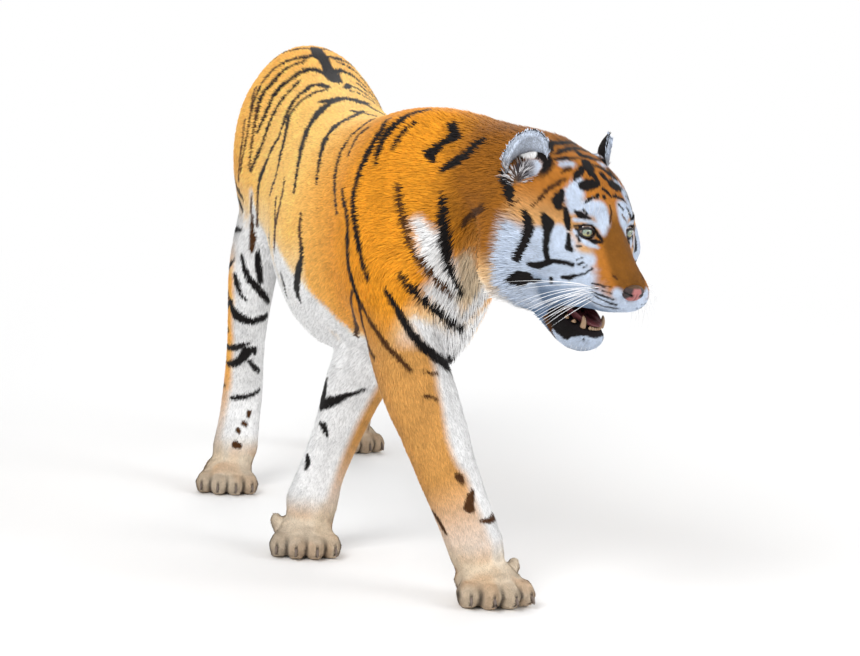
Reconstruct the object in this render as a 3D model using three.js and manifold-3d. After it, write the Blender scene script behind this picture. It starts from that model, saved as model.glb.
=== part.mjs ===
// A walking tiger, life size: trunk, neck, head with its parts, tail and four legs, each part its own solid.
// Millimetres, +Z up, the body's chord along Y with the head towards -Y and the tiger's left at +X.
// Every outer face lies at the tips of the coat.
import * as THREE from "three";
import { mergeVertices } from "three/addons/utils/BufferGeometryUtils.js";
import Module from "manifold-3d";

const wasm = await Module();
wasm.setup();

const GAP = 0.4; // clearance between neighbouring parts
const FLOOR_DEPTH = 200; // thickness of the block that flattens the soles

// Colours of the coat and the bare parts.
const ORANGE = 0xd98a32;
const RUST = 0xb9701f;
const CREAM = 0xe9dcc4;
const IRIS = 0x9a9a5a;
const NOSE_PINK = 0xb5766a;
const TONGUE_PINK = 0xc77b78;

// ---- small maths ----------------------------------------------------------------------------------------------

const vec = (p) => new THREE.Vector3(...p);
const rad = THREE.MathUtils.degToRad;

// Smooth union of two distances, rounded over k millimetres.
function smoothMin(a, b, k) {
  const h = Math.max(k - Math.abs(a - b), 0) / k;
  return Math.min(a, b) - (h * h * k) / 4;
}

// Distance to an ellipsoid with centre at, radii r and its own axes (side, ahead, up) from the given frame.
function ellipsoidField({ at, r, frame }) {
  const inverse = frame.clone().setPosition(vec(at)).invert();
  const radii = vec(r);
  return (point) => {
    const p = point.clone().applyMatrix4(inverse).divide(radii);
    const k0 = p.length();
    const k1 = p.divide(radii).length();
    return k1 === 0 ? -Math.min(...r) : (k0 * (k0 - 1)) / k1;
  };
}

// Axes of a part that heads left of -Y by heading, dips by dip and leans to its side by roll, all in degrees:
// its left, its back and its top.
const axes = (heading, dip = 0, roll = 0) =>
  new THREE.Matrix4().makeRotationFromEuler(new THREE.Euler(rad(dip), -rad(roll), rad(heading), "ZXY"));

// A place in a part's own measures: to its left, ahead and up.
const within = (frame, [left, ahead, up]) => new THREE.Vector3(left, -ahead, up).applyMatrix4(frame);

// Value of a station's key at the fractional index t, through a Catmull-Rom blend of its neighbours.
function blend(stations, key, t) {
  const i = Math.min(Math.floor(t), stations.length - 2);
  const get = (n) => stations[THREE.MathUtils.clamp(n, 0, stations.length - 1)][key];
  const [a, b, c, d] = [get(i - 1), get(i), get(i + 1), get(i + 2)];
  const f = t - i;
  const m0 = (c - a) / 2;
  const m1 = (d - b) / 2;
  const [f2, f3] = [f * f, f * f * f];
  return (2 * f3 - 3 * f2 + 1) * b + (f3 - 2 * f2 + f) * m0 + (3 * f2 - 2 * f3) * c + (f3 - f2) * m1;
}

const SECTION = ["half", "top", "bottom", "round", "under"];
const sectionAt = (stations, t) => Object.fromEntries(SECTION.map((key) => [key, blend(stations, key, t)]));

// ---- solids ---------------------------------------------------------------------------------------------------

function solid(geometry) {
  const bare = geometry.clone();
  bare.deleteAttribute("normal");
  bare.deleteAttribute("uv");
  const merged = mergeVertices(bare, 1e-4);
  return new wasm.Manifold(
    new wasm.Mesh({
      numProp: 3,
      vertProperties: merged.attributes.position.array,
      triVerts: new Uint32Array(merged.index.array),
    }),
  );
}

// The largest body of a cut solid.
function largest(made) {
  return made.decompose().sort((a, b) => b.volume() - a.volume())[0];
}

function geometryOf(made) {
  const mesh = made.getMesh();
  const geometry = new THREE.BufferGeometry();
  geometry.setAttribute("position", new THREE.BufferAttribute(new Float32Array(mesh.vertProperties), 3));
  geometry.setIndex(new THREE.BufferAttribute(new Uint32Array(mesh.triVerts), 1));
  geometry.computeVertexNormals();
  return geometry;
}

// Triangles between rings of equal length, closed by a flat fan at each end.
function skinOver(rings) {
  const sides = rings[0].length;
  const points = rings.flat();
  const faces = [];
  const middle = (ring) => ring.reduce((sum, p) => sum.add(p), new THREE.Vector3()).divideScalar(sides);
  for (let i = 0; i + 1 < rings.length; i++)
    for (let j = 0; j < sides; j++) {
      const [a, b] = [i * sides + j, i * sides + ((j + 1) % sides)];
      faces.push(a, b, a + sides, b, b + sides, a + sides);
    }
  const [first, last] = [points.length, points.length + 1];
  points.push(middle(rings[0]), middle(rings.at(-1)));
  const end = (rings.length - 1) * sides;
  for (let j = 0; j < sides; j++) {
    const next = (j + 1) % sides;
    faces.push(first, next, j, last, end + j, end + next);
  }
  const geometry = new THREE.BufferGeometry().setFromPoints(points);
  geometry.setIndex(faces);
  return geometry;
}

// Radius of a section at the angle: its upper and lower halves each have a height and a roundness.
function sectionRadius({ half, top, bottom, round, under }, angle) {
  const [c, s] = [Math.cos(angle), Math.sin(angle)];
  const [height, n] = s >= 0 ? [top, round] : [bottom, under];
  return (Math.abs(c / half) ** n + Math.abs(s / height) ** n) ** (-1 / n);
}

// One ring of a loft, its section rounded into the masses around it and set ahead by shift.
function ring({ frame, section, sides, masses = [], soft = 1, grow = 0, shift = 0 }) {
  const [side, back, up] = [0, 1, 2].map((n) => new THREE.Vector3().setFromMatrixColumn(frame, n));
  const centre = new THREE.Vector3().setFromMatrixPosition(frame).addScaledVector(back, -shift);
  return Array.from({ length: sides }, (_, j) => {
    const angle = (2 * Math.PI * (j + 0.5)) / sides;
    const own = sectionRadius(section, angle);
    const towards = side.clone().multiplyScalar(Math.cos(angle)).addScaledVector(up, Math.sin(angle));
    const field = (radius) => {
      const p = centre.clone().addScaledVector(towards, radius);
      return masses.reduce((d, mass) => smoothMin(d, mass(p), soft), radius - own);
    };
    return centre.clone().addScaledVector(towards, edge(field, own) + grow);
  });
}

// The radius where the field turns positive for good, looked for inwards from well outside.
function edge(field, own) {
  const STEP = 3;
  let outside = own + 130;
  while (outside > STEP && field(outside - STEP) > 0) outside -= STEP;
  let inside = outside - STEP;
  for (let n = 0; n < 12; n++) {
    const middle = (inside + outside) / 2;
    if (field(middle) > 0) outside = middle;
    else inside = middle;
  }
  return outside;
}

// Numbers from a to b in equal steps of about one step.
function steps(a, b, step) {
  const count = Math.max(1, Math.round((b - a) / step));
  return Array.from({ length: count + 1 }, (_, n) => a + ((b - a) * n) / count);
}

// The rings of a loft between two fractional stations, its ends drawn in by half the gap.
function loft(from, to, step, ringAt) {
  const places = steps(from, to, step);
  return places.map((t, n) => {
    const [first, last] = [n === 0, n === places.length - 1];
    return ringAt(t, first ? GAP / 2 : last ? -GAP / 2 : 0);
  });
}

// An ellipsoid turned into the given frame.
function ball(at, r, frame, [columns, rows] = [12, 8]) {
  const geometry = new THREE.SphereGeometry(1, columns, rows).scale(...r);
  return solid(geometry.applyMatrix4(frame.clone().setPosition(vec(at))));
}

function box(at, size, frame = new THREE.Matrix4()) {
  return solid(new THREE.BoxGeometry(...size).applyMatrix4(frame.clone().setPosition(vec(at))));
}

const underground = box([0, 0, -FLOOR_DEPTH / 2], [6000, 6000, FLOOR_DEPTH]);

// ---- trunk and neck --------------------------------------------------------------------------------------------

// Head axes and the middle between the eyes.
const HEAD = axes(25.1, 16.5, -2.5);
const EYES_AT = [233, -866, 724];
const headPoint = (place) => within(HEAD.clone().setPosition(vec(EYES_AT)), place);
const HEAD_BACK = -205; // where the head meets the neck, behind the eyes
const NAPE_LIFT = -26; // height of the middle of that section
const NAPE_REACH = 142; // from its middle to its top and to its bottom

// Upright sections from the tail root to the nape: place, heading, top and bottom heights and half width.
const TRUNK = [
  [7, 708, -2, 838, 742, 46, 2.1, 2.1],
  [6, 684, -2, 884, 672, 84, 2.1, 2.1],
  [5, 640, -2, 924, 625, 116, 2.1, 2.1],
  [1, 590, -2, 950, 590, 134, 2.0, 2.1],
  [-2, 520, -1, 959, 556, 147, 2.0, 2.2],
  [-3, 440, -1, 945, 524, 150, 2.1, 2.3],
  [-5, 350, 0, 914, 490, 148, 2.2, 2.4],
  [-8, 240, 1, 890, 452, 150, 2.3, 2.5],
  [-13, 120, 1, 871, 412, 158, 2.3, 2.6],
  [-16, 0, 1, 861, 386, 168, 2.3, 2.6],
  [-17, -110, 1, 860, 380, 173, 2.3, 2.5],
  [-15, -215, 3, 870, 386, 167, 2.3, 2.3],
  [-11, -310, 6, 886, 400, 156, 2.3, 2.2],
  [-3, -395, 13, 904, 414, 146, 2.3, 2.1],
  [24, -488, 25, 917, 410, 135, 2.2, 2.5],
  [54, -546, 31, 917, 462, 112, 2.2, 2.2],
  [102, -616, 31, 903, 690, 114, 2.1, 1.7],
].map(([x, y, heading, top, bottom, half, round, under]) => ({
  x, y, z: (top + bottom) / 2, heading, dip: 0, roll: 0,
  top: (top - bottom) / 2, bottom: (top - bottom) / 2, half, round, under,
}));
const NAPE = headPoint([0, HEAD_BACK, NAPE_LIFT]);
TRUNK.push({
  x: NAPE.x, y: NAPE.y, z: NAPE.z, heading: 25.1, dip: 16.5, roll: -2.5,
  top: NAPE_REACH, bottom: NAPE_REACH, half: 128, round: 2.1, under: 2.0,
});
const [RUMP_END, WAIST_END, CHEST_END, NAPE_END] = [6.5, 10.5, 14.5, TRUNK.length - 1];
const TRUNK_SIDES = 24;
const TRUNK_STEP = 0.5;
const TRUNK_SOFT = 60;

// Muscle masses under the coat: each with its place and its half sizes across, along and up.
const bodyMass = (at, r, heading, dip = 0, roll = 0) =>
  ellipsoidField({ at, r, frame: axes(heading, dip, roll) });
const TRUNK_MASSES = [
  bodyMass([-84, 470, 690], [82, 150, 175], -4, -12), // right haunch
  bodyMass([84, 480, 680], [80, 150, 160], 2, 10), // left haunch
  bodyMass([-68, -470, 690], [76, 100, 190], 22, 8), // right shoulder
  bodyMass([78, -425, 690], [72, 100, 180], 22, -8), // left shoulder
  bodyMass([-60, -520, 560], [66, 80, 95], 24, 10), // right upper arm
  bodyMass([62, -395, 555], [64, 92, 90], 20, -20), // left upper arm
];

function trunkSection(t, shift, grow = 0) {
  const at = ["x", "y", "z"].map((key) => blend(TRUNK, key, t));
  const [heading, dip, roll] = ["heading", "dip", "roll"].map((key) => blend(TRUNK, key, t));
  const section = sectionAt(TRUNK, t);
  const near = t > NAPE_END - 1 ? NAPE_END - t : 1; // the masses fade out towards the head
  return ring({
    frame: axes(heading, dip, roll).setPosition(vec(at)),
    section,
    sides: TRUNK_SIDES,
    masses: near > 0 ? TRUNK_MASSES.map((mass) => (p) => mass(p) + (1 - near) * 100) : [],
    soft: TRUNK_SOFT,
    grow,
    shift,
  });
}

const trunkLength = (from, to) => solid(skinOver(loft(from, to, TRUNK_STEP, trunkSection)));

// The whole trunk grown by the gap all round, which trims what is set against it.
function trunkAndGap() {
  const rings = steps(0, NAPE_END, TRUNK_STEP).map((t) => trunkSection(t, t === 0 ? -GAP : 0, GAP));
  return solid(skinOver(rings));
}
const trunkTool = trunkAndGap();

// ---- legs and tail ---------------------------------------------------------------------------------------------

// Rings along a curved limb, each at right angles to it; front is the way its front faces.
// Stations: x, y, z, half width, reach to the front, reach to the back.
function limbRings(stations, heading, sides, from, to, step) {
  const rows = stations.map(([x, y, z, half, top, bottom]) =>
    ({ x, y, z, half, top, bottom, round: 2, under: 2 }));
  const path = new THREE.CatmullRomCurve3(rows.map((s) => new THREE.Vector3(s.x, s.y, s.z)));
  const front = new THREE.Vector3(Math.sin(rad(heading)), -Math.cos(rad(heading)), 0);
  return loft(from, to, step, (t, shift) => {
    const u = t / (rows.length - 1);
    const along = path.getTangent(u);
    const up = front.clone().addScaledVector(along, -front.dot(along)).normalize();
    const side = new THREE.Vector3().crossVectors(up, along);
    const frame = new THREE.Matrix4().makeBasis(side, along.clone().negate(), up);
    frame.setPosition(path.getPoint(u));
    return ring({ frame, section: sectionAt(rows, t), sides, shift });
  });
}

const LEGS = {
  right_fore: {
    heading: 18, joint: 3, colour: ORANGE,
    stations: [
      [-66, -450, 660, 58, 95, 110],
      [-56, -512, 560, 66, 90, 108],
      [-42, -554, 470, 72, 78, 98],
      [-21, -574, 395, 77, 68, 80],
      [8, -577, 325, 74, 60, 62],
      [42, -582, 238, 66, 53, 54],
      [77, -592, 155, 59, 49, 50],
      [98, -602, 100, 58, 50, 50],
    ],
    paw: { at: [118, -630], heading: 6, size: 1.04, medial: 1, bridge: [107, -612, 66] },
  },
  left_fore: {
    heading: 8, joint: 3, colour: CREAM,
    stations: [
      [84, -390, 640, 54, 84, 98],
      [56, -352, 550, 64, 78, 94],
      [-4, -300, 470, 77, 68, 84],
      [-40, -260, 400, 80, 62, 72],
      [-60, -218, 322, 67, 56, 58],
      [-79, -188, 238, 55, 49, 52],
      [-105, -174, 155, 50, 46, 48],
      [-118, -168, 100, 56, 47, 47],
    ],
    paw: { at: [-133, -183], heading: -9, size: 0.99, medial: -1, bridge: [-122, -170, 66] },
  },
  right_hind: {
    heading: -8, joint: 3, colour: ORANGE,
    stations: [
      [-82, 474, 700, 54, 140, 160],
      [-104, 454, 600, 57, 136, 146],
      [-128, 412, 510, 58, 96, 122],
      [-138, 396, 440, 54, 62, 92],
      [-134, 434, 360, 48, 50, 60],
      [-124, 490, 280, 47, 44, 50],
      [-119, 520, 215, 49, 40, 46],
      [-126, 514, 140, 48, 40, 40],
      [-134, 504, 88, 52, 42, 42],
    ],
    paw: { at: [-154, 476], heading: -12, size: 0.93, medial: 0, bridge: [-142, 492, 60] },
  },
  left_hind: {
    heading: 6, joint: 3, colour: CREAM,
    stations: [
      [88, 482, 700, 54, 140, 152],
      [110, 478, 600, 58, 130, 136],
      [128, 470, 510, 58, 92, 110],
      [140, 490, 432, 54, 62, 84],
      [156, 580, 368, 48, 50, 54],
      [176, 700, 318, 44, 44, 46],
      [194, 802, 270, 43, 40, 46],
      [216, 872, 180, 43, 38, 40],
      [233, 938, 92, 46, 40, 40],
    ],
    paw: { at: [241, 980], heading: 4, size: 0.9, medial: 0, bridge: [237, 960, 60] },
  },
};
const LEG_SIDES = 12;
const LEG_STEP = 0.5;

// Toes of a paw: place to the side and ahead, splay. A fore paw of size 1 is about 150 wide.
const TOES = [[-50, 28, -12], [-18, 46, -4], [18, 46, 4], [50, 28, 12]];
const TOE = { r: [24.5, 44, 30], height: 25 };
const PALM = { at: [0, -8, 38], r: [64, 62, 48] };
const CLAW = { length: 14, base: 4, ahead: 40, height: 15 };
const DEWCLAW = { at: [57, -24, 60], r: [14, 19, 22] };

function paw({ at: [x, y], heading, size, medial, bridge }, ankle) {
  const frame = axes(heading);
  const stand = frame.clone().setPosition(x, y, 0);
  const place = (at) => within(stand, at.map((n) => n * size)).toArray();
  const scaled = (r) => r.map((n) => n * size);
  const shank = solid(skinOver([...ankle, bridgeRing(ankle.at(-1), bridge, size)]));
  let made = ball(place(PALM.at), scaled(PALM.r), frame, [9, 5]).add(shank);
  for (const [side, ahead, splay] of TOES) {
    const turned = axes(heading + splay);
    made = made.add(ball(place([side, ahead, TOE.height]), scaled(TOE.r), turned, [6, 5]));
    made = made.add(claw(place([side, ahead, CLAW.height]), turned, size));
  }
  if (medial) {
    const [side, ...rest] = DEWCLAW.at;
    made = made.add(ball(place([side * medial, ...rest]), scaled(DEWCLAW.r), frame, [6, 4]));
  }
  return made.subtract(underground);
}

// A claw's tip, nearly hidden in the fur of its toe.
function claw(at, frame, size) {
  const { length, base, ahead } = CLAW;
  const cone = new THREE.ConeGeometry(base * size, length * size, 4).rotateX(Math.PI);
  cone.translate(0, -(ahead + length / 2) * size, 0);
  return solid(cone.applyMatrix4(frame.clone().setPosition(vec(at))));
}

// The ankle's last ring carried down into the paw.
function bridgeRing(points, to, size) {
  const middle = points.reduce((sum, p) => sum.add(p), new THREE.Vector3()).divideScalar(points.length);
  return points.map((p) => p.clone().sub(middle).multiplyScalar(0.9).add(vec(to)));
}

function leg({ heading, joint, stations, paw: foot }) {
  const last = stations.length - 1;
  const ankle = last - 0.25;
  const rings = (from, to) => limbRings(stations, heading, LEG_SIDES, from, to, LEG_STEP);
  const outside = (from, to) => largest(solid(skinOver(rings(from, to))).subtract(trunkTool));
  return {
    upper: outside(0, joint),
    lower: outside(joint, ankle),
    paw: largest(paw(foot, rings(ankle, last))),
  };
}

// The tail hangs behind the haunches and swings to the tiger's left. Stations: x, y, z and radius.
const TAIL = [
  [7, 690, 800, 44],
  [18, 768, 752, 41],
  [48, 838, 645, 35],
  [94, 892, 520, 32],
  [150, 932, 402, 30],
  [214, 962, 302, 29],
  [272, 962, 238, 28],
  [328, 934, 212, 27],
  [372, 892, 226, 23],
  [386, 874, 238, 12],
].map(([x, y, z, r]) => [x, y, z, r, r, r]);
const TAIL_SIDES = 8;
const TAIL_CUTS = [0, 3.3, 6.2, TAIL.length - 1];

function tailLength(n) {
  const made = solid(skinOver(limbRings(TAIL, 0, TAIL_SIDES, TAIL_CUTS[n], TAIL_CUTS[n + 1], LEG_STEP)));
  return n ? made : largest(made.subtract(trunkTool));
}

// ---- head ------------------------------------------------------------------------------------------------------

// Axes turned within the head: towards its left, then nose down, then over.
const headAxes = (heading = 0, dip = 0, roll = 0) => HEAD.clone().multiply(axes(heading, dip, roll));
const headField = (at, r, ...turn) =>
  ellipsoidField({ at: headPoint(at).toArray(), r, frame: headAxes(...turn) });
const pair = (make) => [1, -1].map(make);

// Sections of the skull and upper jaw: distance ahead of the eyes, heights of top, widest place and bottom,
// half width and roundness of the upper and of the lower half.
const SKULL = [
  [HEAD_BACK, NAPE_LIFT + NAPE_REACH, NAPE_LIFT, NAPE_LIFT - NAPE_REACH, 134, 2.1, 2.0],
  [-165, 112, -30, -208, 138, 2.1, 2.2],
  [-120, 107, -35, -220, 142, 2.1, 2.2],
  [-80, 99, -40, -204, 136, 2.1, 2.3],
  [-48, 85, -45, -174, 120, 2.0, 2.5],
  [-20, 62, -50, -160, 102, 1.75, 2.8],
  [5, 38, -55, -152, 84, 1.5, 3.2],
  [25, 16, -60, -146, 69, 1.45, 3.4],
  [45, -1, -65, -138, 58, 1.5, 3.4],
  [66, -21, -70, -127, 53, 1.7, 3.2],
  [86, -40, -74, -118, 47, 2.0, 2.8],
  [99, -50, -78, -112, 38, 2.2, 2.4],
  [107, -58, -80, -104, 27, 2.1, 2.2],
].map(([y, top, mid, bottom, half, round, under]) => ({
  y, z: mid, top: top - mid, bottom: mid - bottom, half, round, under,
}));
const SKULL_MASSES = [
  ...pair((s) => headField([32 * s, 72, -86], [31, 35, 28])), // whisker pads
  ...pair((s) => headField([83 * s, -50, -46], [38, 52, 46], 20 * s)), // cheek bones
  ...pair((s) => headField([44 * s, -14, 32], [26, 22, 12], 25 * s)), // brows
  ...pair((s) => headField([112 * s, -124, -104], [44, 52, 88])), // ruff
];
const ORBIT = { at: [51, 12, 1], r: [19, 19, 11], turn: 30 };
const HEAD_SIDES = 24;

function headRings({ stations, step, sides, masses = [], soft = 1, grow = 0 }) {
  return loft(0, stations.length - 1, step, (t, shift) => {
    const place = [0, blend(stations, "y", t), blend(stations, "z", t)];
    const frame = HEAD.clone().setPosition(headPoint(place));
    return ring({ frame, section: sectionAt(stations, t), sides, masses, soft, grow, shift });
  });
}

const SKULL_LOFT = { stations: SKULL, step: 0.7, sides: HEAD_SIDES, masses: SKULL_MASSES, soft: 22 };
const skullSolid = (grow = 0) => solid(skinOver(headRings({ ...SKULL_LOFT, grow })));

// The lower jaw, dropped open.
const JAW = [
  [-120, -130, -192, 64, 2.0],
  [-85, -140, -206, 62, 2.1],
  [-50, -148, -215, 57, 2.2],
  [-15, -155, -224, 50, 2.3],
  [15, -161, -226, 44, 2.3],
  [36, -166, -218, 36, 2.2],
  [48, -171, -207, 26, 2.1],
  [52, -178, -200, 13, 2.0],
].map(([y, top, bottom, half, round]) => ({
  y, z: (top + bottom) / 2, top: (top - bottom) / 2, bottom: (top - bottom) / 2, half, round, under: round,
}));
const JAW_LOFT = { stations: JAW, step: 0.8, sides: 14 };
const jawSolid = (grow = 0) => solid(skinOver(headRings({ ...JAW_LOFT, grow })));

const EYE = { at: [47, -10, 0], r: 17.5 };
const EAR = { at: [106, -145, 76], r: [44, 31, 66], turn: 42, wall: 8 };
const NOSE = { at: [0, 105, -70], r: [27, 14, 17] };
const TONGUE = { at: [0, -8, -162], r: [27, 58, 9] };
const PALATE = { at: [0, 4, -146], r: [42, 84, 40] };
const PALATE_SIZE = [10, 7];
const JAW_FLOOR = { at: [0, -2, -152], r: [38, 56, 16] };
const UPPER_FANGS = { at: [26, 72, -96], length: -34, base: 8.5 };
const LOWER_FANGS = { at: [22, 32, -172], length: 36, base: 9 };
const UPPER_FRONT = { at: [0, 88, -102], r: [17, 5, 9] };
const LOWER_FRONT = { at: [0, 44, -170], r: [13, 5, 8] };

const headBall = (at, r, size, turn = 0) =>
  ball(headPoint(at).toArray(), r, headAxes(turn), size);

// A tooth along the head's own up axis; a negative length points down.
function fang([x, y, z], length, base) {
  const cone = new THREE.ConeGeometry(base, Math.abs(length), 6).rotateX((Math.sign(length) * Math.PI) / 2);
  cone.translate(0, 0, length / 2);
  return solid(cone.applyMatrix4(HEAD.clone().setPosition(headPoint([x, y, z]))));
}

function eye(side, grow = 0) {
  const [x, y, z] = EYE.at;
  const r = EYE.r + grow;
  return headBall([x * side, y, z], [r, r, r], [10, 7]);
}

// The almond opening in front of an eye.
const orbit = (side) =>
  headBall([ORBIT.at[0] * side, ORBIT.at[1], ORBIT.at[2]], ORBIT.r, [10, 6], ORBIT.turn * side);

// An ear: the back half of a hollow egg, open to the front and side.
function ear(side) {
  const [x, y, z] = EAR.at;
  const frame = headAxes(EAR.turn * side, -8, 10 * side);
  const at = headPoint([x * side, y, z]);
  const inner = EAR.r.map((n) => n - EAR.wall);
  const front = (distance) => at.clone().add(within(frame, [0, distance, 0])).toArray();
  return ball(at.toArray(), EAR.r, frame, [12, 7])
    .subtract(ball(front(3), inner, frame, [9, 6]))
    .subtract(box(front(104), [300, 200, 300], frame));
}

// The fangs and the row of front teeth of one jaw, which grow from its solid.
function teeth(fangs, front, grow = 0) {
  const [x, y, z] = fangs.at;
  const row = headBall(front.at, front.r.map((n) => n + grow), [6, 4]);
  const long = pair((s) => fang([x * s, y, z], fangs.length, fangs.base + grow));
  return long.reduce((sum, tooth) => sum.add(tooth), row);
}

// The skull with the hollow of the mouth, the eyes and their openings cut from it.
function headSolid() {
  const hollow = skullSolid().subtract(headBall(PALATE.at, PALATE.r, PALATE_SIZE));
  const toothed = hollow.add(teeth(UPPER_FANGS, UPPER_FRONT));
  return largest(pair((s) => eye(s, GAP).add(orbit(s))).reduce((head, hole) => head.subtract(hole), toothed));
}

function headParts() {
  const shrunk = (r) => r.map((n) => n - GAP);
  const aroundHead = skullSolid(GAP).subtract(headBall(PALATE.at, shrunk(PALATE.r), PALATE_SIZE));
  const aroundJaw = jawSolid(GAP)
    .subtract(headBall(JAW_FLOOR.at, shrunk(JAW_FLOOR.r), PALATE_SIZE))
    .add(teeth(LOWER_FANGS, LOWER_FRONT, GAP));
  const jaw = jawSolid()
    .subtract(headBall(JAW_FLOOR.at, JAW_FLOOR.r, PALATE_SIZE))
    .add(teeth(LOWER_FANGS, LOWER_FRONT));
  return {
    head: headSolid(),
    jaw: largest(jaw.subtract(aroundHead)),
    tongue: largest(headBall(TONGUE.at, TONGUE.r, [8, 5]).subtract(aroundJaw).subtract(aroundHead)),
    nose: largest(headBall(NOSE.at, NOSE.r, [9, 6]).subtract(aroundHead)),
    left_eye: eye(1),
    right_eye: eye(-1),
    left_ear: largest(ear(1).subtract(aroundHead)),
    right_ear: largest(ear(-1).subtract(aroundHead)),
  };
}

// ---- the whole animal --------------------------------------------------------------------------------------------

function part(group, name, made, colour, roughness = 0.85) {
  const material = new THREE.MeshStandardMaterial({ color: colour, roughness, metalness: 0 });
  const mesh = new THREE.Mesh(geometryOf(made), material);
  mesh.name = name;
  group.add(mesh);
}

function tiger() {
  const group = new THREE.Group();
  part(group, "rump", trunkLength(0, RUMP_END), ORANGE);
  part(group, "waist", trunkLength(RUMP_END, WAIST_END), ORANGE);
  part(group, "chest", trunkLength(WAIST_END, CHEST_END), ORANGE);
  part(group, "neck", trunkLength(CHEST_END, NAPE_END), RUST);
  ["tail_root", "tail_middle", "tail_tip"].forEach((name, n) => part(group, name, tailLength(n), ORANGE));
  for (const [name, spec] of Object.entries(LEGS)) {
    const made = leg(spec);
    part(group, name + "_upper_leg", made.upper, spec.colour);
    part(group, name + "_lower_leg", made.lower, CREAM);
    part(group, name + "_paw", made.paw, CREAM);
  }
  const head = headParts();
  part(group, "head", head.head, RUST);
  part(group, "jaw", head.jaw, CREAM);
  part(group, "tongue", head.tongue, TONGUE_PINK, 0.5);
  part(group, "nose", head.nose, NOSE_PINK, 0.5);
  for (const side of ["left", "right"]) {
    part(group, side + "_eye", head[side + "_eye"], IRIS, 0.15);
    part(group, side + "_ear", head[side + "_ear"], CREAM);
  }
  return group;
}

// The frame's origin lies on the floor under the middle of the bounding box.
const animal = tiger();
const bounds = new THREE.Box3().setFromObject(animal);
const middle = bounds.getCenter(new THREE.Vector3());
animal.children.forEach((mesh) => mesh.position.set(-middle.x, -middle.y, 0));
export default animal;
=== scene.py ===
import math

import bpy
import bmesh
import numpy as np
from mathutils import Matrix, Vector


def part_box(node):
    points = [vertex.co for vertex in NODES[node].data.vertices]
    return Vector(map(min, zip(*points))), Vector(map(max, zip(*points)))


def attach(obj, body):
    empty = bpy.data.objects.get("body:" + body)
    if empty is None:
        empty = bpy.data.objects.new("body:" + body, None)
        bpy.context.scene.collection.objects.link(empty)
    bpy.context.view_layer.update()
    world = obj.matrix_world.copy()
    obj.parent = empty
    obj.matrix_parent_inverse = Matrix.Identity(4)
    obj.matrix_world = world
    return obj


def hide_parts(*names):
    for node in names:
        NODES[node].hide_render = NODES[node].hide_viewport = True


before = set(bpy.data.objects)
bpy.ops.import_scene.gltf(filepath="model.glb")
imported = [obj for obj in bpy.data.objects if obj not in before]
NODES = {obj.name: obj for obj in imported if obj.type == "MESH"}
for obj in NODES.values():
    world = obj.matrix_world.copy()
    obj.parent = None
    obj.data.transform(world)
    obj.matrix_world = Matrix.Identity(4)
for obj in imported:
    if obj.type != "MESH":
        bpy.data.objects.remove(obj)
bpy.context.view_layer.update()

MM = 0.001
BARE = ["left_eye", "right_eye", "nose", "tongue"]
FLESH = [name for name in NODES if name not in BARE]


# ---- places --------------------------------------------------------------------------------------

def turned(heading, dip=0, roll=0):
    """Axes (left, back, up) as columns, for a part that heads left of -Y, dips and leans, in degrees."""
    return np.array(Matrix.Rotation(math.radians(heading), 3, "Z")
                    @ Matrix.Rotation(math.radians(dip), 3, "X")
                    @ Matrix.Rotation(math.radians(-roll), 3, "Y"))


HEAD = turned(25.1, 16.5, -2.5)
LEFT, AHEAD, UP = HEAD[:, 0], -HEAD[:, 1], HEAD[:, 2]
EYE_BEHIND = 10 * MM


def middle_of(node):
    low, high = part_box(node)
    return (np.array(low) + np.array(high)) / 2


EYES = (middle_of("left_eye") + middle_of("right_eye")) / 2 + AHEAD * EYE_BEHIND
DRAWN_AT = np.array([233, -866, 724]) * MM  # the same place in the design that the lines below are given in
SHIFT = EYES - DRAWN_AT


def head_point(left, ahead, up):
    """A place in the head's own millimetres, from the middle between the eyes."""
    return EYES + (LEFT * left + AHEAD * ahead + UP * up) * MM


def in_head_turn(directions):
    """Directions as the head sees them: to its left, ahead and up."""
    return np.stack([directions @ axis for axis in (LEFT, AHEAD, UP)], 1)


def in_head(points):
    """Points in the head's own millimetres: to its left, ahead and up."""
    return in_head_turn(points - EYES) / MM


# The spine from tail to nape: x, y, top, bottom and half width, in millimetres.
SPINE = np.array([
    [7, 708, 838, 742, 46], [5, 640, 924, 625, 116], [1, 590, 950, 590, 134], [-2, 520, 959, 556, 147],
    [-3, 440, 945, 524, 150], [-5, 350, 914, 490, 148], [-8, 240, 890, 452, 150], [-13, 120, 871, 412, 158],
    [-16, 0, 861, 386, 168], [-17, -110, 860, 380, 173], [-15, -215, 870, 386, 167],
    [-11, -310, 886, 400, 156], [-3, -395, 904, 414, 146], [24, -488, 917, 428, 138],
    [58, -548, 917, 462, 131], [102, -616, 903, 626, 122], [148, -690, 850, 560, 130],
], float) * MM

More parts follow.
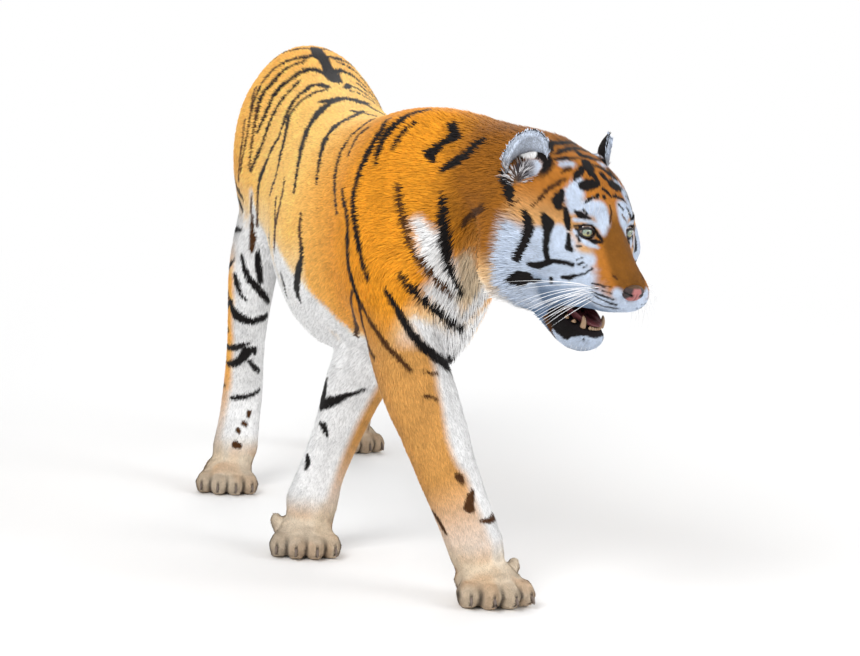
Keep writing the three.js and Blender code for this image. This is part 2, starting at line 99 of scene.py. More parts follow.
# Lines down the middle of each limb: x, y, z and half width, in millimetres.
LIMBS = {name: np.array(rows, float) * MM for name, rows in {
    "right_fore": [[-66, -450, 660, 70], [-56, -512, 560, 74], [-42, -554, 470, 76], [-21, -574, 395, 76],
                   [8, -577, 325, 70], [42, -582, 238, 62], [77, -592, 155, 56], [98, -602, 100, 56],
                   [116, -640, 40, 62]],
    "left_fore": [[84, -390, 640, 68], [56, -352, 550, 74], [-4, -300, 470, 76], [-36, -258, 400, 73],
                  [-58, -216, 322, 62], [-79, -188, 238, 54], [-103, -172, 155, 50], [-118, -168, 100, 54],
                  [-133, -205, 40, 62]],
    "right_hind": [[-82, 474, 700, 80], [-104, 454, 600, 80], [-128, 412, 510, 70], [-138, 396, 440, 60],
                   [-134, 434, 360, 50], [-124, 490, 280, 47], [-119, 520, 215, 45], [-126, 514, 140, 44],
                   [-134, 504, 88, 48], [-158, 460, 36, 58]],
    "left_hind": [[88, 482, 700, 80], [110, 478, 600, 80], [128, 470, 510, 70], [140, 490, 432, 58],
                  [156, 580, 368, 49], [176, 700, 318, 44], [194, 802, 270, 42], [216, 872, 180, 41],
                  [233, 938, 92, 43], [242, 960, 36, 56]],
    "tail": [[7, 690, 800, 44], [18, 768, 752, 41], [48, 838, 645, 35], [94, 892, 520, 32],
             [150, 932, 402, 30], [214, 962, 302, 29], [272, 962, 238, 28], [328, 934, 212, 27],
             [372, 892, 226, 23], [386, 874, 238, 12]],
}.items()}
for rows in LIMBS.values():
    rows[:, :3] += SHIFT
SPINE[:, :2] += SHIFT[:2]
SPINE_TOP, SPINE_BOTTOM, SPINE_HALF = SPINE[:, 2], SPINE[:, 3], SPINE[:, 4]
TRUNK_LINE = np.stack([SPINE[:, 0], SPINE[:, 1], (SPINE_TOP + SPINE_BOTTOM) / 2], 1)
FLAT = np.array([1, 1, 0])
LEGS = ("right_fore", "left_fore", "right_hind", "left_hind")
# The head as a ball, in its own millimetres: its middle and its half sizes to the left, ahead and up.
HEAD_MIDDLE, HEAD_SIZE = np.array([0, -55, -55]), np.array([120, 160, 135])


def along(points, line):
    """How far along a line each point lies, in line steps, and how far from it."""
    step, best = np.zeros(len(points)), np.full(len(points), np.inf)
    for i in range(len(line) - 1):
        start, run = line[i], line[i + 1] - line[i]
        part = np.clip((points - start) @ run / (run @ run), 0, 1)
        far = np.linalg.norm(points - start - part[:, None] * run, axis=1)
        near = far < best
        step[near], best[near] = i + part[near], far[near]
    return step, best


def value_at(step, values):
    return np.interp(step, np.arange(len(values)), values)


def place_at(step, line):
    """Places on a line, by line steps."""
    return np.stack([value_at(step, line[:, k]) for k in range(3)], 1)


def ramp(low, high, x):
    """A smooth climb from 0 at low to 1 at high, or a fall where low is the greater."""
    f = np.clip((x - low) / (high - low), 0, 1)
    return f * f * (3 - 2 * f)


def unit(vectors):
    return vectors / np.maximum(np.linalg.norm(vectors, axis=-1, keepdims=True), 1e-12)


def lengths_of(line):
    """How far along the line each of its places lies."""
    return np.concatenate([[0], np.cumsum(np.linalg.norm(np.diff(line, axis=0), axis=1))])


TRUNK_RUN = unit(np.gradient(TRUNK_LINE * FLAT, axis=0))
HASH = [np.uint64(number) for number in (73856093, 19349663, 83492791)]
HASH_MIX = np.uint64(1274126177)
SEED_STEP = 17.31  # how far apart the noises of two seeds are taken


def noise(points, size, seed=0):
    """Smooth noise from -1 to 1 with features about size across."""
    q = points / size + seed * SEED_STEP
    cell = np.floor(q).astype(np.int64)
    f = q - cell
    f = f * f * (3 - 2 * f)
    total = np.zeros(len(points))
    for corner in np.ndindex(2, 2, 2):
        key = (cell + corner).astype(np.uint64)
        mix = key[:, 0] * HASH[0] ^ key[:, 1] * HASH[1] ^ key[:, 2] * HASH[2]
        mix = (mix ^ (mix >> np.uint64(13))) * HASH_MIX
        chance = ((mix >> np.uint64(8)) & np.uint64(0xFFFF)).astype(float) / 32767.5 - 1
        weight = np.prod(np.where(np.array(corner) == 1, f, 1 - f), axis=1)
        total += chance * weight
    return total


class Body:
    """Where points lie on the animal: beside which line, how far along it, and how much they belong to it."""

    def __init__(self, points, normal=None):
        self.points = points
        self.normal = normal
        self.head = in_head(points)
        self.step, _ = along(points * FLAT, TRUNK_LINE * FLAT)
        run = unit(place_at(self.step, TRUNK_RUN))
        self.back = -run  # towards the tail
        self.left = np.stack([-run[:, 1], run[:, 0], np.zeros(len(points))], 1)
        centre = place_at(self.step, TRUNK_LINE)
        self.side = ((points - centre) * self.left).sum(1)
        self.turn = np.arctan2(self.side, points[:, 2] - centre[:, 2])
        top, bottom = value_at(self.step, SPINE_TOP), value_at(self.step, SPINE_BOTTOM)
        self.height = (points[:, 2] - bottom) / (top - bottom)
        self.reach = value_at(self.step, lengths_of(TRUNK_LINE * FLAT))
        beyond = ((points - centre) * run).sum(1)
        half = value_at(self.step, SPINE_HALF)
        far = {"trunk": np.sqrt((self.side / half) ** 2 + (2 * self.height - 1) ** 2 + (beyond / 0.1) ** 2)}
        self.limb_step, self.limb_reach, self.limb_turn, self.limb_length = {}, {}, {}, {}
        for name, rows in LIMBS.items():
            step, gap = along(points, rows[:, :3])
            off = points - place_at(step, rows)
            lengths = lengths_of(rows[:, :3])
            self.limb_step[name], self.limb_reach[name] = step, value_at(step, lengths)
            self.limb_turn[name] = np.arctan2(off[:, 0], -off[:, 1])
            self.limb_length[name] = lengths[-1]
            far[name] = gap / value_at(step, rows[:, 3])
            if name == "tail":
                self.tail_up = off[:, 2] / np.maximum(gap, 1e-6)
        far["head"] = np.sqrt((((self.head - HEAD_MIDDLE) / HEAD_SIZE) ** 2).sum(1))
        nearest = np.min(list(far.values()), axis=0)
        weights = {name: np.exp(-6 * (d - nearest)) for name, d in far.items()}
        total = sum(weights.values())
        self.share = {name: weight / total for name, weight in weights.items()}
        self.legs = sum(self.share[name] for name in LEGS)


# ---- mesh helpers --------------------------------------------------------------------------------

def only(obj):
    bpy.ops.object.select_all(action="DESELECT")
    obj.select_set(True)
    bpy.context.view_layer.objects.active = obj


def apply_modifier(obj, kind, **settings):
    modifier = obj.modifiers.new(kind.title(), kind)
    for key, value in settings.items():
        setattr(modifier, key, value)
    only(obj)
    bpy.ops.object.modifier_apply(modifier=modifier.name)


def rows_of(items, key, width, kind=np.float32):
    """One property of each vertex, edge or triangle, a row for each."""
    flat = np.empty(len(items) * width, kind)
    items.foreach_get(key, flat)
    return flat.reshape(-1, width)


def places(obj):
    return rows_of(obj.data.vertices, "co", 3).astype(float)


def move_to(obj, points):
    obj.data.vertices.foreach_set("co", points.astype(np.float32).ravel())
    obj.data.update()


def normals(obj):
    return rows_of(obj.data.vertex_normals, "vector", 3).astype(float)


def placed(name, data):
    """A new object in the scene."""
    obj = bpy.data.objects.new(name, data)
    bpy.context.scene.collection.objects.link(obj)
    return obj


def mended(mesh, mend):
    """Changes a mesh by a function of its bmesh."""
    shape = bmesh.new()
    shape.from_mesh(mesh)
    mend(shape)
    shape.to_mesh(mesh)
    shape.free()


def faces_out(shape):
    bmesh.ops.recalc_face_normals(shape, faces=shape.faces)


def piece_of(name, points, faces):
    """A new piece from its places and faces, with its faces turned outwards."""
    mesh = bpy.data.meshes.new(name)
    mesh.from_pydata(points.tolist(), [], faces)
    mended(mesh, faces_out)
    return placed(name, mesh)


def write_colour(mesh, tones):
    """Gives the vertices of a mesh their colours, or all of them one colour."""
    layer = mesh.color_attributes.new("coat", "FLOAT_COLOR", "POINT")
    rgba = np.ones((len(mesh.vertices), 4), np.float32)
    rgba[:, :3] = tones
    layer.data.foreach_set("color", rgba.ravel())


def relaxed(values, edges, weight, rounds):
    """Values on the vertices drawn towards their neighbours' mean, by weight, over some rounds."""
    count = np.maximum(np.bincount(edges.ravel(), minlength=len(values)), 1)[:, None]
    for _ in range(rounds):
        total = np.stack([np.bincount(edges[:, 0], values[edges[:, 1], k], len(values))
                          + np.bincount(edges[:, 1], values[edges[:, 0], k], len(values))
                          for k in range(values.shape[1])], 1)
        values = values + (total / count - values) * weight[:, None]
    return values


# ---- skin ----------------------------------------------------------------------------------------

OVERLAP = 0.8 * MM  # each solid grows by this, so that neighbours meet before they are joined
VOXEL = 4 * MM
SKIN_FACES = 190_000
MEET = 1e-5  # doubles closer than this become one vertex
RELAX_ROUNDS = 60
DENSE_LEVELS = 20


def meet(shape):
    bmesh.ops.remove_doubles(shape, verts=shape.verts, dist=MEET)


def joined_flesh():
    """The flesh nodes' copies, grown and joined into one closed skin."""
    copies = []
    for name in FLESH:
        mesh = NODES[name].data.copy()
        mended(mesh, meet)
        copy = placed("flesh", mesh)
        move_to(copy, places(copy) + normals(copy) * OVERLAP)
        copies.append(copy)
    bpy.ops.object.select_all(action="DESELECT")
    for copy in copies:
        copy.select_set(True)
    bpy.context.view_layer.objects.active = copies[0]
    bpy.ops.object.join()
    skin = bpy.context.view_layer.objects.active
    skin.name = "skin"
    apply_modifier(skin, "REMESH", mode="VOXEL", voxel_size=VOXEL)
    return skin


def coat_depth(body):
    """Depth of the coat over the skin, metres."""
    share = body.share
    low = ramp(0.30, 0.12, body.points[:, 2])
    trunk = 8 + 8 * ramp(0.35, 0.0, body.height)
    neck = ramp(12.5, 15, body.step) * 6
    _, ahead, up = body.head.T
    ruff = ramp(-60, -150, ahead) * ramp(0, -60, up)
    head = 3 + 6 * ramp(-10, -80, ahead) + 12 * ruff
    legs = 7 - 3.5 * low
    depth = share["trunk"] * (trunk + neck) + share["tail"] * 8 + body.legs * legs + share["head"] * head
    return depth * MM


def make_skin():
    """One skin: relaxed, sunk by the depth of the coat, and thinned where its shape is plain."""
    skin = joined_flesh()
    points, edges = places(skin), rows_of(skin.data.edges, "vertices", 2, np.int32)
    body = Body(points)
    share = body.share
    low = ramp(0.20, 0.10, points[:, 2])
    weight = 0.6 * share["trunk"] + 0.30 * body.legs * (1 - 0.8 * low)
    weight = weight + 0.2 * share["tail"] + 0.06 * share["head"]
    weight = weight + 0.5 * mouth_cover(body)
    points = relaxed(points, edges, weight, RELAX_ROUNDS)
    move_to(skin, points)
    body = Body(points)
    points = points - normals(skin) * (coat_depth(body) * ramp(0, 0.025, points[:, 2]))[:, None]
    points[:, 2] = np.maximum(points[:, 2], 0)
    move_to(skin, points)
    dense = skin.vertex_groups.new(name="dense")
    near = np.round(np.clip(0.15 + 0.85 * share["head"] + 0.5 * low, 0, 1) * DENSE_LEVELS).astype(int)
    for level in range(DENSE_LEVELS + 1):
        dense.add(np.flatnonzero(near == level).tolist(), level / DENSE_LEVELS, "REPLACE")
    apply_modifier(skin, "TRIANGULATE")
    apply_modifier(skin, "DECIMATE", ratio=SKIN_FACES / len(skin.data.polygons), vertex_group="dense",
                   vertex_group_factor=1.0, invert_vertex_group=True)
    return skin


# ---- markings ------------------------------------------------------------------------------------

# Markings as strokes: the colour, then places (x, y, z) and half width, in millimetres. The trunk's are
# mirrored to its left side, apart from the breast's and those down its middle, and of the legs' only the
# right hind leg's are mirrored.
TRUNK_MARKS = [
    ("white", [(-46, -604, 702, 14.6), (-32, -621, 677, 23.7), (-13, -626, 645, 27.4), (18, -613, 605,
        27.5), (47, -591, 565, 18.4)]),
    ("white", [(-15, -611, 582, 11.0), (29, -593, 556, 24.0), (56, -566, 517, 13.0)]),
    ("white", [(-42, -616, 528, 7.3), (-4, -615, 497, 22.0), (48, -545, 461, 26.0), (73, -518, 448, 15.0)]),
    ("white", [(11, -623, 443, 5.5), (24, -624, 406, 14.7), (35, -625, 360, 18.4), (49, -626, 311, 22.1),
        (68, -622, 271, 22.2)]),
    ("white", [(-161, 350, 652, 8.3), (-152, 351, 593, 22.9), (-147, 331, 527, 33.2), (-120, 335, 468,
        35.4)]),
    ("white", [(-180, 15, 570, 25.9), (-185, -87, 543, 33.4), (-177, -165, 518, 33.0)]),
    ("white", [(-168, -201, 504, 38.7), (-140, -278, 474, 36.4), (-110, -320, 450, 32.5)]),
    ("cream", [(53, -615, 635, 18.4), (69, -595, 600, 22.1), (85, -570, 567, 18.5)]),
    ("black", [(-1, 496, 953, 7.4), (-3, 442, 943, 10.3), (1, 406, 931, 7.3), (1, 371, 919, 7.3), (-0, 340,
        909, 13.1), (2, 293, 898, 8.7)]),
    ("black", [(-15, 489, 952, 1.5), (-46, 514, 946, 2.2), (-60, 557, 937, 2.2), (-77, 549, 926, 2.0), (-87,
        556, 914, 1.8)]),
    ("black", [(-15, 434, 940, 4.1), (-38, 437, 937, 3.8), (-58, 452, 931, 3.5), (-78, 460, 923, 3.0), (-93,
        470, 911, 2.8), (-111, 464, 893, 2.6), (-127, 457, 872, 2.2), (-142, 438, 847, 1.9), (-151, 424,
        821, 1.8)]),
    ("black", [(-42, 419, 930, 1.5), (-65, 422, 920, 2.3), (-85, 424, 909, 2.8), (-100, 420, 894, 3.3),
        (-117, 415, 876, 4.4), (-132, 416, 855, 5.5), (-144, 399, 830, 4.2), (-152, 384, 802, 2.4), (-157,
        373, 779, 1.7)]),
    ("black", [(-15, 348, 911, 4.4), (-29, 367, 917, 4.9), (-42, 375, 915, 5.2), (-62, 378, 907, 4.3), (-81,
        369, 896, 4.1), (-98, 370, 880, 4.6), (-112, 371, 865, 4.4), (-125, 362, 845, 3.1), (-141, 350, 811,
        2.8), (-152, 355, 781, 2.0)]),
    ("black", [(-70, 339, 892, 1.7), (-90, 322, 876, 2.6), (-104, 323, 861, 3.2), (-120, 314, 841, 3.5),
        (-131, 314, 820, 3.8), (-143, 309, 791, 3.3), (-150, 310, 762, 2.9), (-157, 325, 734, 2.4), (-163,
        352, 699, 1.7)]),
    ("black", [(-28, 248, 889, 3.7), (-41, 282, 894, 4.8), (-58, 286, 887, 4.4), (-79, 268, 875, 4.1),
        (-100, 259, 855, 3.7), (-116, 235, 833, 3.1), (-132, 209, 806, 2.9), (-143, 195, 782, 3.2), (-150,
        224, 756, 4.0), (-155, 251, 724, 4.9), (-155, 296, 688, 5.1), (-156, 307, 657, 3.8)]),
    ("black", [(-35, 231, 886, 1.4), (-53, 239, 881, 2.3), (-76, 228, 869, 2.3), (-96, 223, 855, 2.0),
        (-118, 213, 829, 2.3), (-136, 157, 800, 3.4), (-149, 124, 771, 4.2), (-162, 96, 737, 4.5), (-168,
        94, 708, 3.4), (-168, 139, 675, 1.7)]),
    ("black", [(38, 159, 866, 5.1), (16, 132, 870, 7.1), (7, 155, 874, 8.5), (-10, 159, 874, 7.1), (-38,
        136, 871, 6.5), (-58, 124, 863, 7.1), (-82, 90, 850, 7.3), (-106, 48, 834, 7.0), (-119, 32, 820,
        6.1), (-134, -9, 804, 5.3), (-152, -54, 783, 4.4), (-164, -97, 759, 3.8), (-175, -128, 732, 3.0),
        (-180, -139, 708, 1.6)]),
    ("black", [(-3, 25, 860, 2.0), (-41, -48, 857, 3.3), (-65, -79, 851, 5.5), (-85, -94, 844, 7.4), (-107,
        -133, 835, 6.0), (-123, -149, 820, 5.4), (-140, -198, 802, 4.6), (-152, -224, 780, 3.2), (-161,
        -250, 756, 2.1), (-166, -263, 736, 1.1)]),
    ("black", [(-54, -265, 871, 4.0), (-76, -298, 865, 3.6), (-98, -314, 855, 3.3), (-112, -307, 838, 2.9),
        (-127, -317, 817, 2.5), (-139, -325, 796, 2.2), (-147, -343, 771, 1.8), (-153, -361, 746, 1.5),
        (-156, -387, 723, 1.3), (-159, -415, 699, 1.0)]),
    ("black", [(-96, -374, 860, 1.6), (-109, -352, 842, 1.9), (-123, -369, 822, 1.8), (-132, -377, 807,
        1.3)]),
    ("black", [(-72, -446, 886, 3.7), (-91, -470, 872, 4.9), (-104, -483, 855, 5.2), (-118, -490, 834, 5.4),
        (-127, -487, 813, 5.5), (-134, -484, 791, 5.1), (-140, -485, 770, 4.9), (-144, -485, 744, 4.5),
        (-147, -489, 724, 4.1), (-146, -495, 709, 3.5), (-143, -504, 684, 2.9), (-138, -513, 659, 2.5),
        (-136, -521, 644, 2.1)]),
    ("black", [(-9, -501, 911, 2.6), (-31, -494, 903, 3.6), (-52, -494, 894, 6.0), (-68, -504, 884, 5.4),
        (-85, -500, 867, 6.0), (-98, -505, 849, 5.2), (-107, -514, 829, 3.9), (-114, -519, 806, 1.8)]),
    ("black", [(-45, -530, 887, 1.8), (-64, -534, 868, 3.1), (-79, -537, 850, 2.3), (-86, -542, 837, 1.3)]),
    ("brown", [(-174, -16, 720, 1.9), (-182, -42, 695, 3.6), (-184, -24, 656, 5.5), (-183, 1, 628, 7.0),
        (-182, 15, 599, 7.5), (-180, 16, 576, 5.6)]),
    ("brown", [(-181, -211, 670, 3.2), (-183, -211, 648, 4.6), (-182, -218, 627, 4.3), (-181, -226, 606,
        3.8)]),
    ("black", [(-181, -228, 608, 4.6), (-179, -226, 581, 6.8), (-180, -200, 554, 10.3), (-176, -173, 520,
        8.4), (-171, -174, 500, 5.0)]),
    ("brown", [(-160, 348, 644, 2.0), (-155, 365, 610, 2.9), (-156, 355, 582, 3.1), (-157, 338, 554, 2.8),
        (-156, 333, 537, 2.3)]),
    ("brown", [(-156, 307, 657, 3.8), (-153, 320, 621, 2.9), (-147, 341, 586, 1.7)]),
    ("brown", [(-134, 479, 865, 1.5), (-148, 444, 838, 1.7), (-156, 416, 804, 1.9), (-164, 401, 770, 2.0),
        (-170, 405, 729, 1.8), (-172, 416, 692, 1.5)]),
    ("brown", [(-145, 403, 829, 1.5), (-153, 381, 796, 1.7), (-160, 369, 762, 1.7), (-163, 362, 733, 1.6),
        (-165, 363, 701, 1.2)]),
    ("brown", [(-163, 441, 796, 1.2), (-168, 424, 762, 1.6), (-172, 423, 721, 1.7), (-172, 433, 673, 1.5)]),
    ("black", [(-153, -424, 744, 1.5), (-153, -455, 718, 3.3), (-151, -477, 684, 3.5), (-151, -477, 647,
        3.3), (-149, -483, 611, 3.3), (-146, -499, 583, 3.1), (-136, -513, 556, 2.7), (-131, -519, 534,
        1.8)]),
    ("black", [(-141, -508, 680, 2.9), (-137, -518, 645, 2.4), (-131, -532, 617, 1.8), (-127, -550, 594,
        1.3)]),
    ("brown", [(-81, -573, 770, 1.4), (-78, -580, 741, 2.5), (-71, -588, 710, 4.0), (-63, -595, 678, 4.3),
        (-51, -603, 650, 4.0), (-35, -617, 627, 3.6), (-7, -616, 601, 2.9), (20, -606, 582, 2.2), (39, -594,
        566, 1.5)]),
    ("black", [(-17, -637, 764, 2.5), (-13, -642, 735, 5.4), (-11, -641, 714, 9.4), (-2, -639, 692, 10.1),
        (6, -631, 662, 9.0), (14, -623, 636, 6.9), (28, -613, 609, 5.1), (48, -597, 585, 3.6), (60, -585,
        565, 2.2)]),
    ("black", [(-73, -596, 608, 1.4), (-59, -603, 591, 3.3), (-41, -608, 574, 5.1), (-16, -603, 556, 6.2),
        (15, -591, 536, 6.2), (43, -573, 515, 5.5), (75, -546, 495, 3.7)]),
    ("black", [(-98, -582, 577, 1.8), (-81, -593, 553, 2.9), (-68, -607, 530, 4.3), (-52, -621, 503, 5.4),
        (-30, -627, 482, 7.2), (-2, -624, 463, 9.8), (27, -606, 446, 12.8), (66, -504, 427, 11.1)]),
    ("brown", [(-131, -526, 543, 1.5), (-121, -534, 518, 2.6), (-108, -578, 495, 2.5), (-94, -602, 474,
        2.4), (-75, -622, 455, 2.2), (-55, -633, 438, 1.4)]),
    ("brown", [(-144, -496, 561, 1.8), (-130, -453, 514, 2.6), (-109, -400, 477, 2.6), (-96, -359, 448,
        1.5)]),
    ("brown", [(-132, -515, 534, 1.5), (-121, -502, 495, 2.2), (-116, -525, 465, 2.2), (-112, -560, 448,
        1.1)]),
    ("black", [(-141, 331, 527, 2.1), (-136, 330, 498, 3.7), (-130, 332, 469, 2.1)]),
    ("black", [(-168, 133, 603, 3.6), (-163, 137, 563, 4.0)]),
    ("black", [(-183, -65, 536, 2.7), (-179, -80, 515, 4.7), (-173, -72, 491, 2.7)]),
    ("brown", [(-178, 33, 671, 5.9), (-181, 22, 640, 5.9), (-183, 6, 602, 4.7), (-180, 18, 577, 2.4)]),
    ("black", [(15, -581, 888, 9.1), (13, -612, 872, 10.8), (-8, -597, 853, 8.3), (-27, -590, 835, 10.8),
        (-26, -600, 821, 3.6)]),
    ("black", [(42, -676, 870, 8.9), (21, -672, 851, 10.7), (9, -663, 836, 9.0), (-6, -638, 818, 6.1), (-16,
        -626, 806, 3.2)]),
    ("brown", [(28, -749, 752, 4.3), (35, -673, 726, 6.1), (33, -645, 701, 2.5)]),
]
LEG_MARKS = {
    "right_hind": [
        ("black", [(-173, 358, 523, 2.1), (-169, 344, 495, 4.1), (-155, 335, 472, 5.1), (-133, 334, 452,
            5.1), (-108, 350, 429, 4.1), (-99, 365, 419, 2.5)]),
        ("black", [(-186, 370, 479, 3.7), (-181, 359, 460, 5.2), (-171, 350, 436, 3.1), (-159, 344, 425,
            1.6)]),
        ("black", [(-189, 416, 439, 2.9), (-187, 390, 414, 6.2), (-178, 378, 391, 9.3), (-161, 366, 382,
            8.3), (-140, 364, 377, 5.2), (-119, 365, 383, 6.2), (-103, 374, 388, 7.3)]),
        ("black", [(-173, 476, 313, 4.2), (-166, 430, 312, 5.2), (-150, 407, 320, 3.7), (-134, 401, 325,
            1.7)]),
        ("black", [(-169, 485, 271, 4.2), (-155, 454, 274, 6.3), (-143, 433, 286, 6.3), (-135, 416, 306,
            9.4), (-121, 412, 311, 5.2), (-114, 423, 301, 2.1)]),
        ("black", [(-125, 434, 282, 2.1), (-103, 456, 262, 4.2), (-93, 465, 256, 3.2)]),
        ("black", [(-150, 492, 197, 2.4), (-127, 482, 201, 3.4), (-105, 482, 206, 3.4), (-86, 490, 215,
            2.0)]),
        ("brown", [(-110, 480, 169, 3.9), (-112, 479, 162, 2.9)]),
        ("brown", [(-122, 474, 146, 3.9), (-118, 475, 143, 2.9)]),
        ("brown", [(-136, 473, 132, 2.9), (-134, 472, 128, 2.4)]),
        ("brown", [(-141, 466, 102, 5.9), (-133, 464, 99, 4.4)]),
    ],
    "left_fore": [
        ("black", [(-123, -216, 348, 15.6), (-125, -215, 303, 9.8), (-107, -255, 314, 6.7), (-86, -278, 327,
            3.5), (-51, -294, 342, 1.8)]),
        ("black", [(-124, -219, 263, 4.0), (-116, -227, 258, 5.8), (-110, -230, 242, 2.2)]),
        ("black", [(-142, -200, 173, 2.2), (-140, -201, 187, 4.5), (-141, -193, 199, 2.2)]),
    ],
    "right_fore": [
        ("brown", [(48, -635, 240, 4.8), (55, -633, 234, 5.4), (59, -633, 227, 2.5)]),
        ("brown", [(80, -630, 211, 3.5), (75, -634, 199, 6.4), (71, -638, 183, 8.0), (78, -637, 177, 3.8)]),
        ("brown", [(96, -638, 157, 1.6), (115, -628, 156, 4.2), (131, -606, 159, 5.4)]),
        ("brown", [(11, -596, 162, 3.5), (19, -605, 151, 4.2), (33, -618, 127, 1.6)]),
        ("brown", [(-28, -638, 434, 1.3), (-14, -634, 433, 1.6), (1, -631, 432, 0.9)]),
        ("brown", [(-26, -640, 389, 1.3), (-13, -641, 388, 1.6), (1, -637, 384, 0.9)]),
    ],
}

